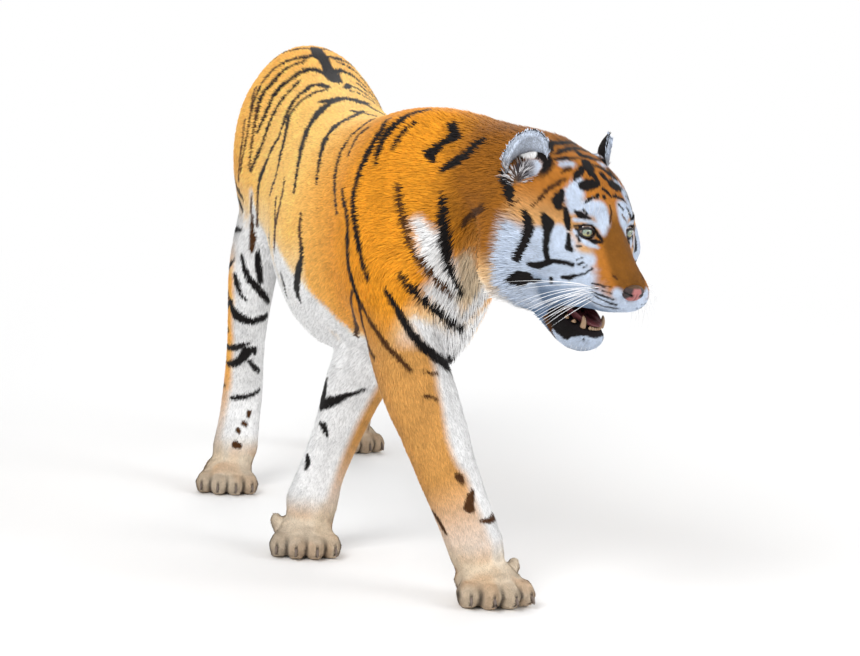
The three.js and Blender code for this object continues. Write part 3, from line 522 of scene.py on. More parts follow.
# Markings of the head: places to its left, ahead and up of the middle between the eyes, and half width, in
# millimetres.
HEAD_MARKS = [
    ("white", [(-49, -54, 77, 9.9), (-64, -42, 58, 16.9), (-72, -26, 39, 12.7)]),
    ("white", [(-51, -12, 43, 15.5), (-30, -3, 44, 16.9), (-26, 10, 25, 12.7), (-28, 20, 8, 4.2)]),
    ("white", [(-70, -4, -2, 2.0), (-57, 13, -14, 3.7), (-44, 25, -15, 2.8)]),
    ("white", [(-123, -42, -29, 18.3), (-120, -30, -54, 16.9)]),
    ("white", [(-98, -16, -12, 16.9), (-100, -4, -34, 21.1), (-81, 10, -46, 12.7), (-56, 33, -39, 9.9)]),
    ("white", [(-108, -26, -86, 8.5), (-78, 13, -79, 15.5), (-61, 41, -75, 9.9)]),
    ("white", [(-144, -99, -42, 15.6), (-140, -80, -76, 28.3), (-115, -66, -132, 36.9), (-86, -65, -163,
        31.4)]),
    ("white", [(-61, 40, -94, 7.0), (-60, 81, -98, 16.8), (-41, 103, -97, 12.6), (-3, 107, -102, 12.7), (26,
        107, -96, 8.5)]),
    ("white", [(-37, 105, -72, 8.4), (-17, 107, -86, 8.4)]),
    ("white", [(75, -117, 89, 5.8), (79, -99, 80, 7.2)]),
    ("white", [(81, -71, 68, 7.2), (100, -60, 40, 8.6), (62, -3, 32, 8.5)]),
    ("white", [(-54, -101, 94, 7.1), (-40, -96, 97, 8.5)]),
    ("white", [(-44, -4, -204, 17.1), (-31, 39, -201, 21.3), (-1, 52, -186, 17.1)]),
    ("brown", [(-70, -70, 75, 3.4), (-87, -71, 63, 4.8), (-102, -75, 49, 4.8), (-112, -74, 34, 3.1), (-123,
        -77, 17, 1.4)]),
    ("brown", [(-51, -86, 92, 4.8), (-65, -84, 84, 4.2)]),
    ("black", [(-80, -135, 112, 8.5), (-36, -169, 107, 6.3), (-19, -168, 111, 4.9), (4, -167, 111, 4.9),
        (44, -180, 106, 2.9)]),
    ("black", [(-45, -134, 101, 2.3), (-27, -138, 106, 4.0), (-4, -144, 109, 4.3), (20, -149, 109, 4.0),
        (49, -152, 102, 3.5), (71, -148, 99, 1.7)]),
    ("black", [(-57, -119, 96, 1.7), (-44, -115, 99, 3.4), (-30, -111, 102, 2.8), (-9, -108, 104, 1.1)]),
    ("black", [(6, -130, 107, 3.4), (1, -116, 105, 3.1), (32, -114, 102, 2.6), (73, -118, 97, 1.2)]),
    ("black", [(-2, -97, 102, 5.7), (-9, -78, 97, 8.0), (-18, -61, 90, 3.4)]),
    ("black", [(-23, -80, 96, 4.3), (-40, -69, 88, 6.5), (-53, -61, 80, 3.4)]),
    ("black", [(8, -85, 99, 3.4), (30, -81, 95, 2.9), (51, -75, 87, 2.1), (81, -82, 74, 1.1)]),
    ("black", [(-10, -58, 89, 3.7), (-12, -41, 79, 3.7)]),
    ("black", [(10, -61, 91, 4.8), (17, -46, 81, 3.1)]),
    ("black", [(24, -48, 80, 2.8), (39, -46, 74, 4.8), (63, -51, 65, 2.0)]),
    ("black", [(-7, -33, 71, 2.0), (2, -28, 67, 3.1), (7, -21, 61, 1.7)]),
    ("black", [(14, -22, 61, 2.6), (29, -23, 58, 3.1), (41, -23, 54, 1.7)]),
    ("black", [(20, -10, 50, 2.6), (28, -3, 44, 2.3)]),
    ("black", [(62, -37, 56, 1.7), (95, -52, 37, 1.1)]),
    ("black", [(39, -7, 46, 1.7), (46, -2, 36, 2.8), (51, 2, 25, 1.1)]),
    ("brown", [(24, 2, 35, 1.1), (35, 7, 24, 0.9)]),
    ("brown", [(-3, -7, 49, 1.7), (-3, 1, 40, 2.0), (-13, 14, 24, 1.7)]),
    ("black", [(-44, -44, 72, 7.1), (-33, -44, 75, 9.3), (-22, -42, 77, 7.1)]),
    ("black", [(-52, -21, 48, 1.4), (-43, -24, 54, 3.4), (-31, -24, 58, 2.0)]),
    ("black", [(-23, -25, 62, 3.4), (-26, -22, 59, 2.8)]),
    ("black", [(-10, -20, 60, 3.7), (-9, -19, 59, 2.8)]),
    ("black", [(-72, -20, 31, 2.3), (-68, -10, 29, 6.2), (-61, -1, 28, 3.7), (-50, 3, 27, 1.4)]),
    ("black", [(-60, -11, 38, 2.5), (-58, -3, 34, 2.5)]),
    ("black", [(-83, -57, 57, 4.8), (-90, -50, 41, 10.7), (-91, -43, 32, 7.0)]),
    ("black", [(-84, -33, 32, 3.1), (-82, -24, 16, 5.6), (-81, -14, 2, 4.8)]),
    ("black", [(-82, -8, -8, 3.1), (-84, 3, -28, 6.2), (-78, 8, -32, 3.1)]),
    ("black", [(-130, -84, 2, 4.8), (-129, -72, -11, 9.3), (-129, -64, -26, 9.9), (-130, -64, -45, 8.5),
        (-132, -66, -64, 8.5), (-132, -68, -84, 7.1)]),
    ("black", [(-112, -53, 9, 5.1), (-109, -39, -1, 10.4), (-112, -31, -18, 6.2), (-118, -21, -35, 4.8),
        (-113, -16, -54, 4.8), (-106, -10, -64, 5.6)]),
    ("black", [(-119, -46, -85, 4.0), (-114, -31, -81, 6.2), (-109, -15, -68, 6.2), (-102, -4, -59, 3.9),
        (-87, 5, -57, 3.9), (-75, 15, -56, 3.9)]),
    ("black", [(-125, -73, -130, 8.5), (-116, -63, -121, 15.6), (-111, -48, -110, 9.9)]),
    ("black", [(-104, -39, -113, 4.2), (-100, -27, -105, 2.8)]),
    ("black", [(-92, -9, -95, 3.7), (-89, -9, -102, 2.8)]),
    ("black", [(-82, 6, -85, 2.5), (-75, 16, -82, 4.2), (-70, 24, -74, 2.8), (-62, 37, -64, 2.0), (-55, 44,
        -51, 2.0)]),
    ("black", [(-72, 18, -46, 1.1), (-63, 23, -39, 0.8)]),
    ("black", [(-69, 23, -53, 2.5), (-63, 27, -46, 1.7)]),
    ("black", [(-64, 31, -56, 1.7), (-59, 35, -49, 1.1)]),
    ("black", [(-69, 9, -24, 2.5), (-64, 12, -21, 1.4)]),
    ("black", [(-69, -0, -7, 1.7), (-66, 7, -14, 2.0)]),
    ("black", [(-73, -10, 7, 1.1), (-65, -0, -3, 2.3), (-48, 6, -6, 3.1), (-43, 21, -7, 4.8), (-33, 29, -7,
        2.0)]),
    ("black", [(-73, -10, 7, 1.1), (-63, -1, 13, 2.0), (-49, 8, 13, 2.0), (-33, 10, 2, 3.1), (-32, 27, -5,
        2.5)]),
    ("brown", [(-35, 83, -48, 3.1), (-32, 90, -51, 1.4)]),
    ("black", [(-63, 62, -78, 1.7), (-61, 76, -75, 1.3)]),
    ("black", [(-58, 86, -74, 1.4), (-47, 100, -74, 1.1)]),
    ("black", [(-63, 68, -85, 1.3), (-58, 90, -83, 1.5), (-41, 106, -84, 1.1)]),
    ("black", [(-62, 59, -87, 0.8), (-61, 79, -90, 1.3), (-53, 96, -91, 1.3), (-30, 107, -94, 0.8)]),
    ("black", [(-58, 54, -104, 0.8), (-54, 85, -104, 1.3), (-38, 102, -102, 1.3), (-19, 107, -102, 0.8)]),
    ("black", [(-57, 82, -68, 1.3), (-54, 88, -68, 1.0)]),
    ("black", [(-61, 59, -72, 1.1), (-55, 84, -66, 1.1), (-46, 94, -64, 0.8)]),
    ("black", [(-25, 47, -187, 2.0), (-24, 48, -188, 1.7)]),
    ("black", [(-35, 31, -182, 1.1), (-35, 33, -183, 1.1)]),
    ("black", [(-132, -158, 38, 9.9), (-131, -142, 21, 11.4), (-134, -126, 12, 7.1)]),
    ("brown", [(-137, -116, 0, 2.0), (-132, -107, 17, 2.8)]),
    ("white", [(-72, -6, -1, 3.7), (-61, 8, -10, 3.7), (-48, 22, -16, 3.1), (-41, 30, -16, 2.0)]),
    ("white", [(-74, -13, 18, 3.4), (-54, 3, 22, 3.4), (-30, 14, 14, 2.8)]),
    # The black lower lip along the jaw, with the shade on the side of the jaw below it painted black into it.
    ("black", [(-46, -23, -172, 14.3), (-45, -2, -180, 15.7), (-42, 15, -189, 11.4)]),
    ("brown", [(-52, -37, -182, 5.7), (-49, -21, -197, 5.7), (-37, -15, -213, 3.4)]),
    ("black", [(-44, 11, -187, 10.0), (-35, 29, -180, 8.0), (-21, 43, -173, 7.1), (17, 39, -170, 5.7)]),
]


# ---- colours -------------------------------------------------------------------------------------

def colour(red, green, blue):
    """A colour by its screen values, 0 to 255, as light."""
    c = np.array([red, green, blue]) / 255
    return np.where(c <= 0.04045, c / 12.92, ((c + 0.055) / 1.055) ** 2.4)


FLANK, RUMP, SHOULDER = colour(255, 200, 108), colour(255, 184, 82), colour(226, 148, 34)
NECK, CROWN, BRIDGE = colour(150, 92, 20), colour(178, 112, 40), colour(124, 78, 24)
PALE, WHITE = colour(248, 220, 172), colour(236, 236, 236)
CREAM, TAN = colour(208, 188, 158), colour(204, 158, 102)
LEG = colour(208, 152, 82)
# FACE_WHITE is a white tinted blue as painted shade on the face, and SHADED_WHITE is the deeper painted shade
# under the head.
FACE_WHITE, SHADED_WHITE, TOES = colour(188, 200, 218), colour(102, 124, 152), colour(184, 166, 144)
INKS = {"black": colour(20, 16, 16), "brown": colour(74, 44, 18), "white": WHITE, "cream": CREAM,
        "face_white": FACE_WHITE}
# Black of the lips and of the rims round the eyes, also painted over the inside of the mouth as its shade.
RIM_BLACK_AND_MOUTH_SHADE = colour(26, 20, 22)


def mixed(base, other, amount):
    """Colours drawn towards others, by an amount for each point. Either may be one colour for all."""
    return base + (other - base) * amount[:, None]


def covered(places, line, soft, wobble):
    """How far each place lies within a drawn mark, 0 to 1. The line's last column is its half width."""
    room = line[:, -1].max() + soft + 6
    lowest, highest = line[:, :-1].min(0) - room, line[:, :-1].max(0) + room
    near = np.flatnonzero(np.all((places > lowest) & (places < highest), 1))
    cover = np.zeros(len(places))
    if not len(near):
        return cover
    spots, inside = places[near], np.full(len(near), -np.inf)
    for start, end in zip(line[:-1], line[1:]):
        run = end[:-1] - start[:-1]
        part = np.clip((spots - start[:-1]) @ run / (run @ run + 1e-9), 0, 1)
        gap = np.linalg.norm(spots - start[:-1] - part[:, None] * run, axis=1)
        inside = np.maximum(inside, start[-1] + part * (end[-1] - start[-1]) - gap)
    cover[near] = ramp(-soft, soft, inside + wobble[near])
    return cover


LEG_ACROSS = {"right_hind": "left_hind"}
PALE_INKS = ("white", "cream", "face_white")
# How drawn half widths are widened, by a factor and then by millimetres, and how soft the stroke's edge is.
TRUNK_STROKE, NECK_STROKE = (1.15, 3.8, 2.5), (0.75, 3.8, 2.5)
LEG_STROKE, PALE_STROKE = (1.25, 1.5, 2.0), (1, 0, 12)
NECK_FROM, BREAST_FROM, BREAST_UNDER = 1.2, 1.12, 0.35  # reach along the trunk, and share of its height
MIDDLE = 0.03  # marks nearer the middle than this lie across it, and aren't mirrored
# Stripes round the outside of each thigh and hock: how far down the leg, from and to which turn, half
# width.
THIGH_STRIPES = [(0.05, 50, 150, 7), (0.11, 60, 165, 8), (0.165, 48, 160, 7), (0.225, 66, 170, 8),
                 (0.29, 60, 165, 7), (0.35, 75, 170, 6), (0.42, 70, 165, 6), (0.49, 80, 170, 5),
                 (0.56, 80, 165, 4)]
THIGH_TAPER = np.array([0.4, 0.9, 1, 1, 1, 0.8, 0.3])
THIGH_SOFT = 2.2
UPRIGHT = np.array([0, 0, 1.0])
# Stripes where no view was to be had: reach at the top and at the bottom, first and last turn from the top,
# and half width. The first rows are on both sides, the others on the left.
REAR_STRIPES = [(0.025, -0.01, 30, 125, 7), (0.065, 0.03, 22, 122, 8), (0.105, 0.075, 30, 118, 7)]
LEFT_STRIPES = [(0.155, 0.15, 26, 112, 8), (0.20, 0.22, 20, 100, 7), (0.44, 0.50, 70, 112, 6),
                (0.62, 0.68, 64, 108, 7), (0.72, 0.80, 14, 60, 6), (0.80, 0.86, 74, 116, 6),
                (0.98, 1.03, 24, 84, 6)]
HIDDEN_TAPER = np.array([0.35, 0.8, 1, 0.9, 1, 1, 0.8, 0.6, 0.3])
HIDDEN_SOFT = 2.5
# Strokes of the head: widening of the dark ones by height, and of the others, in all of which some width is
# added.
HEAD_WIDEN_AT, HEAD_WIDEN, HEAD_PLAIN, HEAD_ADD = [60, 75, 92, 100], [1.05, 1.35, 1.35, 1.8], 1.05, 0.3
HEAD_SOFT, HEAD_PALE_SOFT = 1.2, 6
HEAD_PAIRED = -18  # a stroke that lies further to the right than this is drawn on both cheeks
# Every mark as it lies on the skin: its colour, softness, and places with half widths, in millimetres.
LAID = []
TRACED_STEP = 10 * MM


def mirrored_trunk(spots):
    """Places on the trunk carried across to its other side."""
    body = Body(spots)
    return spots - 2 * body.side[:, None] * body.left


def mirrored_limb(spots, name):
    """Places on one leg carried to the leg across from it."""
    own, other = LIMBS[name], LIMBS[LEG_ACROSS[name]]
    step, _ = along(spots, own[:, :3])
    off = spots - place_at(step, own)
    step = step * (len(other) - 1) / (len(own) - 1)
    return place_at(step, other) + off * [-1, 1, 1]


def lay(skin, ink, spots, half, soft):
    """Lays one stroke on the skin, in short steps."""
    fine, wide = [spots[0]], [half[0]]
    for start, end, first, last in zip(spots[:-1], spots[1:], half[:-1], half[1:]):
        count = max(1, int(np.linalg.norm(end - start) / TRACED_STEP))
        for part in np.arange(1, count + 1) / count:
            fine.append(start + (end - start) * part)
            wide.append(first + (last - first) * part)
    on_skin = []
    for spot in fine:
        found, near, _, _ = skin.closest_point_on_mesh(Vector(spot))
        on_skin.append(np.array(near) if found else spot)
    LAID.append((ink, soft, np.column_stack([np.array(on_skin) / MM, wide])))


def lay_trunk_marks(skin):
    for ink, line in TRUNK_MARKS:
        line = np.array(line, float)
        spots = line[:, :3] * MM + SHIFT
        body = Body(spots)
        dark = TRUNK_STROKE if body.reach.mean() <= NECK_FROM else NECK_STROKE
        pale = ink in PALE_INKS
        factor, added, soft = PALE_STROKE if pale else dark
        half = line[:, 3] * factor + added
        lay(skin, ink, spots, half, soft)
        on_breast = body.reach.mean() > BREAST_FROM and body.height.min() < BREAST_UNDER and not pale
        if np.abs(body.side).max() > MIDDLE and not on_breast:
            lay(skin, ink, mirrored_trunk(spots), half, soft)


def lay_leg_marks(skin):
    factor, added, soft = LEG_STROKE
    for name, rows in LEG_MARKS.items():
        for ink, line in rows:
            line = np.array(line, float)
            spots, half = line[:, :3] * MM + SHIFT, line[:, 3] * factor + added
            lay(skin, ink, spots, half, soft)
            if name in LEG_ACROSS:
                lay(skin, ink, mirrored_limb(spots, name), half, soft)


def lay_thigh_stripes(skin):
    for name, side in (("right_hind", -1), ("left_hind", 1)):
        rows = LIMBS[name]
        for number, (down, first, last, half) in enumerate(THIGH_STRIPES):
            turns = np.radians(np.linspace(first, last, len(THIGH_TAPER)))
            reach = down + 0.03 * np.cos(turns + number)
            step = np.interp(reach, lengths_of(rows[:, :3]), np.arange(len(rows)))
            around = np.stack([side * np.sin(turns), -np.cos(turns), 0 * turns], 1)
            spots = place_at(step, rows) + around * value_at(step, rows[:, 3])[:, None]
            lay(skin, "black", spots, half * THIGH_TAPER, THIGH_SOFT)


def lay_hidden_stripe(skin, side, start, end, first, last, half):
    """One stripe across the trunk, from near its back down the given side."""
    turns = np.linspace(first, last, len(HIDDEN_TAPER))
    reach = start + (end - start) * (turns - first) / (last - first) + 0.008 * np.sin(turns / 9 + start * 40)
    step = np.interp(reach, lengths_of(TRUNK_LINE * FLAT), np.arange(len(TRUNK_LINE)))
    turns = np.radians(turns)[:, None]
    way = place_at(step, TRUNK_RUN)
    left = unit(np.stack([-way[:, 1], way[:, 0], 0 * step], 1))
    tall = value_at(step, SPINE_TOP - SPINE_BOTTOM)[:, None] / 2
    wide = value_at(step, SPINE_HALF)[:, None]
    centre = place_at(step, TRUNK_LINE)
    spots = centre + side * left * wide * np.sin(turns) + UPRIGHT * tall * np.cos(turns)
    lay(skin, "black", spots, half * HIDDEN_TAPER, HIDDEN_SOFT)


def lay_head_marks(skin):
    for ink, line in HEAD_MARKS:
        line = np.array(line, float)
        pale = ink == "white"
        soft = min(HEAD_PALE_SOFT if pale else HEAD_SOFT, 0.5 * line[:, 3].max() + 1)
        dark = np.interp(line[:, 2].mean(), HEAD_WIDEN_AT, HEAD_WIDEN)
        half = line[:, 3] * (dark if ink == "black" else HEAD_PLAIN) + HEAD_ADD
        for side in ((1, -1) if line[:, 0].mean() < HEAD_PAIRED else (1,)):
            spots = np.array([head_point(left * side, ahead, up) for left, ahead, up in line[:, :3]])
            lay(skin, "face_white" if pale else ink, spots, half, soft)


def lay_marks(skin):
    """Lays every stroke. Where two of like paleness cross, the later one is on top."""
    lay_trunk_marks(skin)
    lay_leg_marks(skin)
    lay_thigh_stripes(skin)
    for side in (1, -1):
        for row in REAR_STRIPES:
            lay_hidden_stripe(skin, side, *row)
    for row in LEFT_STRIPES:
        lay_hidden_stripe(skin, 1, *row)
    lay_head_marks(skin)


def marked(body, paint, wobble):
    """The paint with every stroke over it, the pale ones first."""
    points = body.points / MM
    for ink, soft, line in sorted(LAID, key=lambda mark: mark[0] not in PALE_INKS):
        rough = wobble * (0.35 if soft < 1.5 else 0.5)
        paint = mixed(paint, INKS[ink], covered(points, line, soft, rough))
    return paint


def rings(along_mm, turn, wobble, spacing, width, phase=0.0):
    """Uneven bands across a limb or tail."""
    wave = (along_mm + 9 * np.sin(turn + phase) + 2.5 * wobble) / spacing + phase
    across = np.abs(wave - np.round(wave)) * spacing
    return ramp(2.5, -2.5, across - width)


def face_paint(body, wobble):
    """Colour of the head under its strokes."""
    left, ahead, up = body.head.T
    side = np.abs(left)
    rough = 1.6 * wobble
    paint = mixed(CROWN, NECK, ramp(-120, -175, ahead) * ramp(20, 60, up))
    edge = np.interp(ahead, [-200, -120, -60, 0, 25, 45, 70, 110], [-34, -24, -14, -8, -26, -48, -68, -86])
    temple = ramp(70, 10, up - edge) * ramp(-150, -110, ahead) * ramp(20, 0, ahead)
    paint = mixed(paint, TAN, temple * 0.8)
    # Painted shade: the face's white turns a darker blue towards the underside of the head.
    pale = mixed(FACE_WHITE, SHADED_WHITE, ramp(-66, -140, up))
    paint = mixed(paint, pale, ramp(15, -21, up - edge + 2 * rough))
    bridge = ramp(34, 20, side - 0.12 * np.clip(ahead, 0, 80)) * ramp(-12, 18, ahead)
    paint = mixed(paint, BRIDGE, bridge * ramp(-90, -72, up))
    beside = ramp(12, 2, np.abs(side - 24)) * ramp(5, 22, ahead) * ramp(70, 40, ahead)
    paint = mixed(paint, BRIDGE * 0.9, beside * 0.5)
    under_eye = np.exp(-((side - 62) / 14) ** 2 - ((ahead - 22) / 18) ** 2 - ((up + 26) / 10) ** 2)
    paint = mixed(paint, TAN, np.clip(under_eye * 1.1, 0, 1))
    behind = ramp(-70, -150, ahead) * ramp(-20, -70, up) * ramp(-190, -120, up)
    return mixed(paint, CREAM, behind * (0.5 + 0.35 * wobble / 3))


# An ear, in the head's own millimetres: its middle, its half sizes, and its heading, dip and lean in
# degrees.
EAR_AT, EAR_SIZE, EAR_TURN = np.array([106, -145, 76]), np.array([44, 31, 66]), (42, -8, 10)
# Colours of an ear: the first is painted shade deep in its hollow, then grey and pale towards the rim, and
# brown at its foot.
EAR_HOLLOW_SHADE, EAR_GREY, EAR_PALE, EAR_BROWN = colour(62, 56, 60), colour(150, 150, 158), colour(200, 210, 226), \
    colour(120, 92, 66)
# The second colour is painted shade, for the claws' slits and the creases between the toes.
EAR_HAIR, CLAW_SLIT_SHADE = colour(206, 204, 206), colour(44, 36, 34)


def ear_cover(body, side):
    """How far points belong to an ear and to its inner face, and where they lie: to its left, back and up."""
    place = (body.head - EAR_AT * [side, 1, 1]) * [1, -1, 1]
    heading, dip, lean = EAR_TURN
    ear_frame = turned(heading * side, dip, lean * side)
    axes = place @ ear_frame
    size = np.linalg.norm(axes / EAR_SIZE, axis=1)
    above = ramp(-34, -14, axes[:, 2])
    facing = (in_head_turn(body.normal) * [1, -1, 1]) @ ear_frame[:, 1]
    turn_in = np.where(axes[:, 0] * side < 0, 0.4, 0)
    inner = np.maximum(ramp(-0.5, -0.2, facing - turn_in), ramp(0.8, 0.7, size))
    inner = inner * ramp(1.32, 1.2, size)
    cover = ramp(1.3, 1.12, size) * above
    outer = cover * (1 - inner) * ramp(0.4, 0.55, size)
    return np.maximum(outer, inner * ramp(-50, -35, axes[:, 2])), inner, axes


def ear_paint(body, paint, wobble):
    """The paint with both ears over it: dark backs with a pale spot, and inside, painted shade deep in the
    hollow that turns grey and then pale towards the rim.
    """
    for side in (1, -1):
        shell, inner, axes = ear_cover(body, side)
        rim = np.hypot(axes[:, 0] / EAR_SIZE[0], (axes[:, 2] + 22) / EAR_SIZE[2]) + 0.04 * wobble
        # Painted shade in the middle of the hollow, turning grey and then pale towards the rim.
        inside = mixed(EAR_HOLLOW_SHADE, EAR_GREY, ramp(0.25, 0.55, rim))
        inside = mixed(inside, EAR_PALE, ramp(0.45, 0.75, rim))
        inside = mixed(inside, EAR_BROWN, ramp(-18, -46, axes[:, 2]) * 0.7)
        spot = np.exp(-(axes[:, 0] / 22) ** 2 - ((axes[:, 2] - 14) / 20) ** 2)
        outside = mixed(INKS["black"], WHITE, ramp(0.5, 0.65, spot))
        outside = mixed(outside, CROWN, ramp(0, -28, axes[:, 2]))
        paint = mixed(paint, mixed(outside, inside, inner), shell)
    return paint


def eye_cover(body):
    """The bare rims of the eyes."""
    gaps = [np.linalg.norm(body.points - middle_of(node), axis=1) for node in ("left_eye", "right_eye")]
    return ramp(EYE_RIM_OUT, EYE_RIM_IN, np.minimum(*gaps))


PAW_TOP = 0.075
EYE_RIM_OUT, EYE_RIM_IN = 22.5 * MM, 20.5 * MM


def paw_shade(body, paint):
    """Painted shade in the slits that the claws leave from, and between the toes."""
    low = np.flatnonzero(body.points[:, 2] < PAW_TOP)
    points, own = body.points[low], paint[low]
    shade = np.zeros(len(low))
    for toe in toes():
        x, ahead, up = toe_places(points, toe).T
        off = np.abs(x)
        slit = ramp(4.2, 1.6, off) * ramp(26, 32, ahead) * ramp(38, 26, up + 0.4 * ahead - 14)
        slit = slit * (ahead < 70)
        crease = ramp(14, 19, off) * ramp(26, 20, off) * ramp(-10, 10, ahead) * (ahead < 46)
        crease = crease * ramp(50, 24, up)
        shade = np.maximum(shade, np.maximum(0.95 * slit, 0.85 * crease))
    paint[low] = mixed(own, CLAW_SLIT_SHADE, shade)
    return paint


def mouth_cover(body):
    """The bare lips and inside of the mouth: the lips black, and the inside painted black as its shade."""
    left, ahead, up = body.head.T
    upper = np.sqrt((left / 44) ** 2 + ((ahead - 4) / 86) ** 2 + ((up + 146) / 42) ** 2)
    lower = np.sqrt((left / 41) ** 2 + ((ahead + 2) / 59) ** 2 + ((up + 152) / 19) ** 2)
    return ramp(1.10, 1.03, np.minimum(upper, lower))


# How far round each leg the trunk's colour comes down, from and to, in degrees.
LEG_WINDOWS = {"right_fore": (-150, 24), "left_fore": (20, 158),
               "right_hind": (-170, -62), "left_hind": (62, 170)}
WINDOW_EDGE = 16
# Where the white of the belly ends, as a share of the trunk's height, by reach along the trunk.
LOW_AT, LOW = [0.0, 0.3, 0.6, 0.9, 1.1, 1.25, 1.45], [0.05, 0.23, 0.33, 0.32, 0.14, 0.12, 0.22]
TAIL_RING, TAIL_RING_HALF = 62, 11  # from ring to ring of the tail, and half a ring's width, in millimetres
TAIL_TIP = (760, 800)


def leg_paint(body, name):
    """Colour of one leg: white, with the trunk's colour down its outer side."""
    turn, down = np.degrees(body.limb_turn[name]), body.limb_reach[name]
    first, last = LEG_WINDOWS[name]
    inside = ramp(first - WINDOW_EDGE, first + WINDOW_EDGE, turn)
    inside = inside * ramp(last + WINDOW_EDGE, last - WINDOW_EDGE, turn)
    fade = ramp(0.66, 0.46, down)
    tone = mixed(LEG if "fore" in name else RUMP, TAN, 1 - fade)
    return mixed(WHITE, tone, inside * (0.35 + 0.65 * fade))


def tail_paint(body, wobble):
    """Colour of the tail: white beneath, dark rings and a dark tip."""
    far = body.limb_reach["tail"] * 1000
    tail = mixed(RUMP, WHITE, ramp(0.2, 0.9, -body.tail_up))
    tail = mixed(tail, INKS["black"], rings(far, body.limb_turn["tail"], wobble, TAIL_RING, TAIL_RING_HALF))
    return mixed(tail, INKS["black"], ramp(*TAIL_TIP, far))


def paint_of(body):
    """Colour of the coat at each point, the same for the skin and for the tufts."""
    points, share = body.points, body.share
    wobble = 1.6 * noise(points, 0.006, 1) + 2.0 * noise(points, 0.017, 2)
    broad = noise(points, 0.09, 3)
    reach, height = body.reach, body.height
    trunk = mixed(FLANK, RUMP, ramp(0.45, 0.15, reach))
    trunk = mixed(trunk, SHOULDER, ramp(0.80, 1.16, reach + 0.03 * broad))
    trunk = mixed(trunk, NECK, ramp(1.24, 1.36, reach) * ramp(0.15, 0.45, height))
    shoulder = ramp(0.93, 1.0, reach) * ramp(1.28, 1.17, reach)
    shoulder = shoulder * ramp(0.07, 0.12, np.abs(body.side))
    low = np.interp(reach, LOW_AT, LOW) - 0.5 * shoulder
    trunk = mixed(trunk, PALE, ramp(0.22, 0.0, height - low + 0.04 * broad) * 0.7)
    trunk = mixed(trunk, WHITE, ramp(0.07, -0.09, height - low + 0.05 * broad + 0.012 * wobble))
    limb_paint = np.zeros_like(trunk)
    for name in LEGS:
        limb_paint = limb_paint + leg_paint(body, name) * share[name][:, None]
    upper = ramp(0.42, 0.56, points[:, 2])  # thighs and shoulders wear the trunk's colours
    low_limb = limb_paint / np.maximum(body.legs, 1e-6)[:, None]
    body_paint = mixed(trunk, low_limb, np.clip(body.legs * (1 - upper) * 1.4, 0, 1))
    paw = ramp(0.13, 0.07, points[:, 2]) * body.legs
    patch = noise(points, 0.035, 8)
    body_paint = mixed(body_paint, mixed(CREAM, TAN, ramp(-0.1, 0.5, patch) * 0.7), paw * 0.8)
    toe = ramp(0.07, 0.035, points[:, 2] + 0.008 * patch) * body.legs * 0.55
    body_paint = mixed(body_paint, TOES, toe)
    # Painted shade in the claw slits and between the toes.
    body_paint = paw_shade(body, body_paint)
    paint = mixed(body_paint, tail_paint(body, wobble), share["tail"])
    paint = mixed(paint, face_paint(body, wobble), ramp(0.3, 0.7, share["head"]))
    paint = marked(body, paint, wobble)
    paint = ear_paint(body, paint, wobble)
    # The black lips and eye rims, and painted shade over the inside of the mouth.
    paint = mixed(paint, RIM_BLACK_AND_MOUTH_SHADE, np.maximum(mouth_cover(body), eye_cover(body)))
    streak = 0.05 * broad + 0.09 * noise(points, 0.028, 9) + 0.10 * noise(points, 0.009, 10)
    return np.clip(paint * (1 + streak)[:, None], 0, 1)


# ---- coat ----------------------------------------------------------------------------------------

EAR_ROOT_UP = 20
FOOT_LIE = np.array([0.15, -1, -0.25])  # on the feet the coat lies ahead and a little down


def run_of(body, name):
    """The way along a limb at each point, from the trunk outwards."""
    return unit(place_at(body.limb_step[name], np.gradient(LIMBS[name][:, :3], axis=0)))


def lie_of(body):
    """Direction in which the coat lies at each point, along the surface."""
    points, share = body.points, body.share
    side = np.clip(np.abs(body.side) / 0.12, 0, 1)[:, None]
    trunk = unit(body.back - UPRIGHT * side * (0.25 + 0.35 * ramp(0.7, 0.2, body.height))[:, None])
    flow = trunk * share["trunk"][:, None]
    low = ramp(0.10, 0.05, points[:, 2])[:, None]
    for name in LEGS:
        way = run_of(body, name) * (1 - low) + FOOT_LIE * low + body.back * 0.15
        flow = flow + unit(way) * share[name][:, None]
    flow = flow + run_of(body, "tail") * share["tail"][:, None]
    left, ahead, up = body.head.T
    sag = 30 * ramp(20, -60, up) * ramp(30, -60, ahead)
    away = unit(np.stack([left * 0.8, ahead - 118, (up + 66) * 0.8 - sag], 1))
    flow = flow + (away[:, :1] * LEFT + away[:, 1:2] * AHEAD + away[:, 2:] * UP) * share["head"][:, None]
    for side in (1, -1):
        shell, _, _ = ear_cover(body, side)
        root = head_point(EAR_AT[0] * side * 0.8, EAR_AT[1], EAR_ROOT_UP)
        flow = flow * (1 - shell[:, None]) + unit(points - root) * 0.8 * shell[:, None]
    flow = flow - (flow * body.normal).sum(1)[:, None] * body.normal
    return unit(flow)


# The cut of the coat: on the trunk; what the belly, neck and breast add to that; on the legs, the feet, the
# tail, the head, the face and the ruff.
TUFT_LENGTH = (17, 10, 6, 4, 12, 7, 17, 13, 6.5, 34)  # millimetres
TUFT_WIDTH = (2.3, 0.6, 0.5, 0.5, 1.9, 1.4, 2.2, 1.5, 1.0, 2.6)  # millimetres
TUFT_LIFT = (15, 8, 4, 2, 14, 15, 16, 15, 12, 20)  # degrees
TUFT_COUNT = (15, -3, -1, -2, 21, 34, 18, 34, 58, 20)  # on a square centimetre


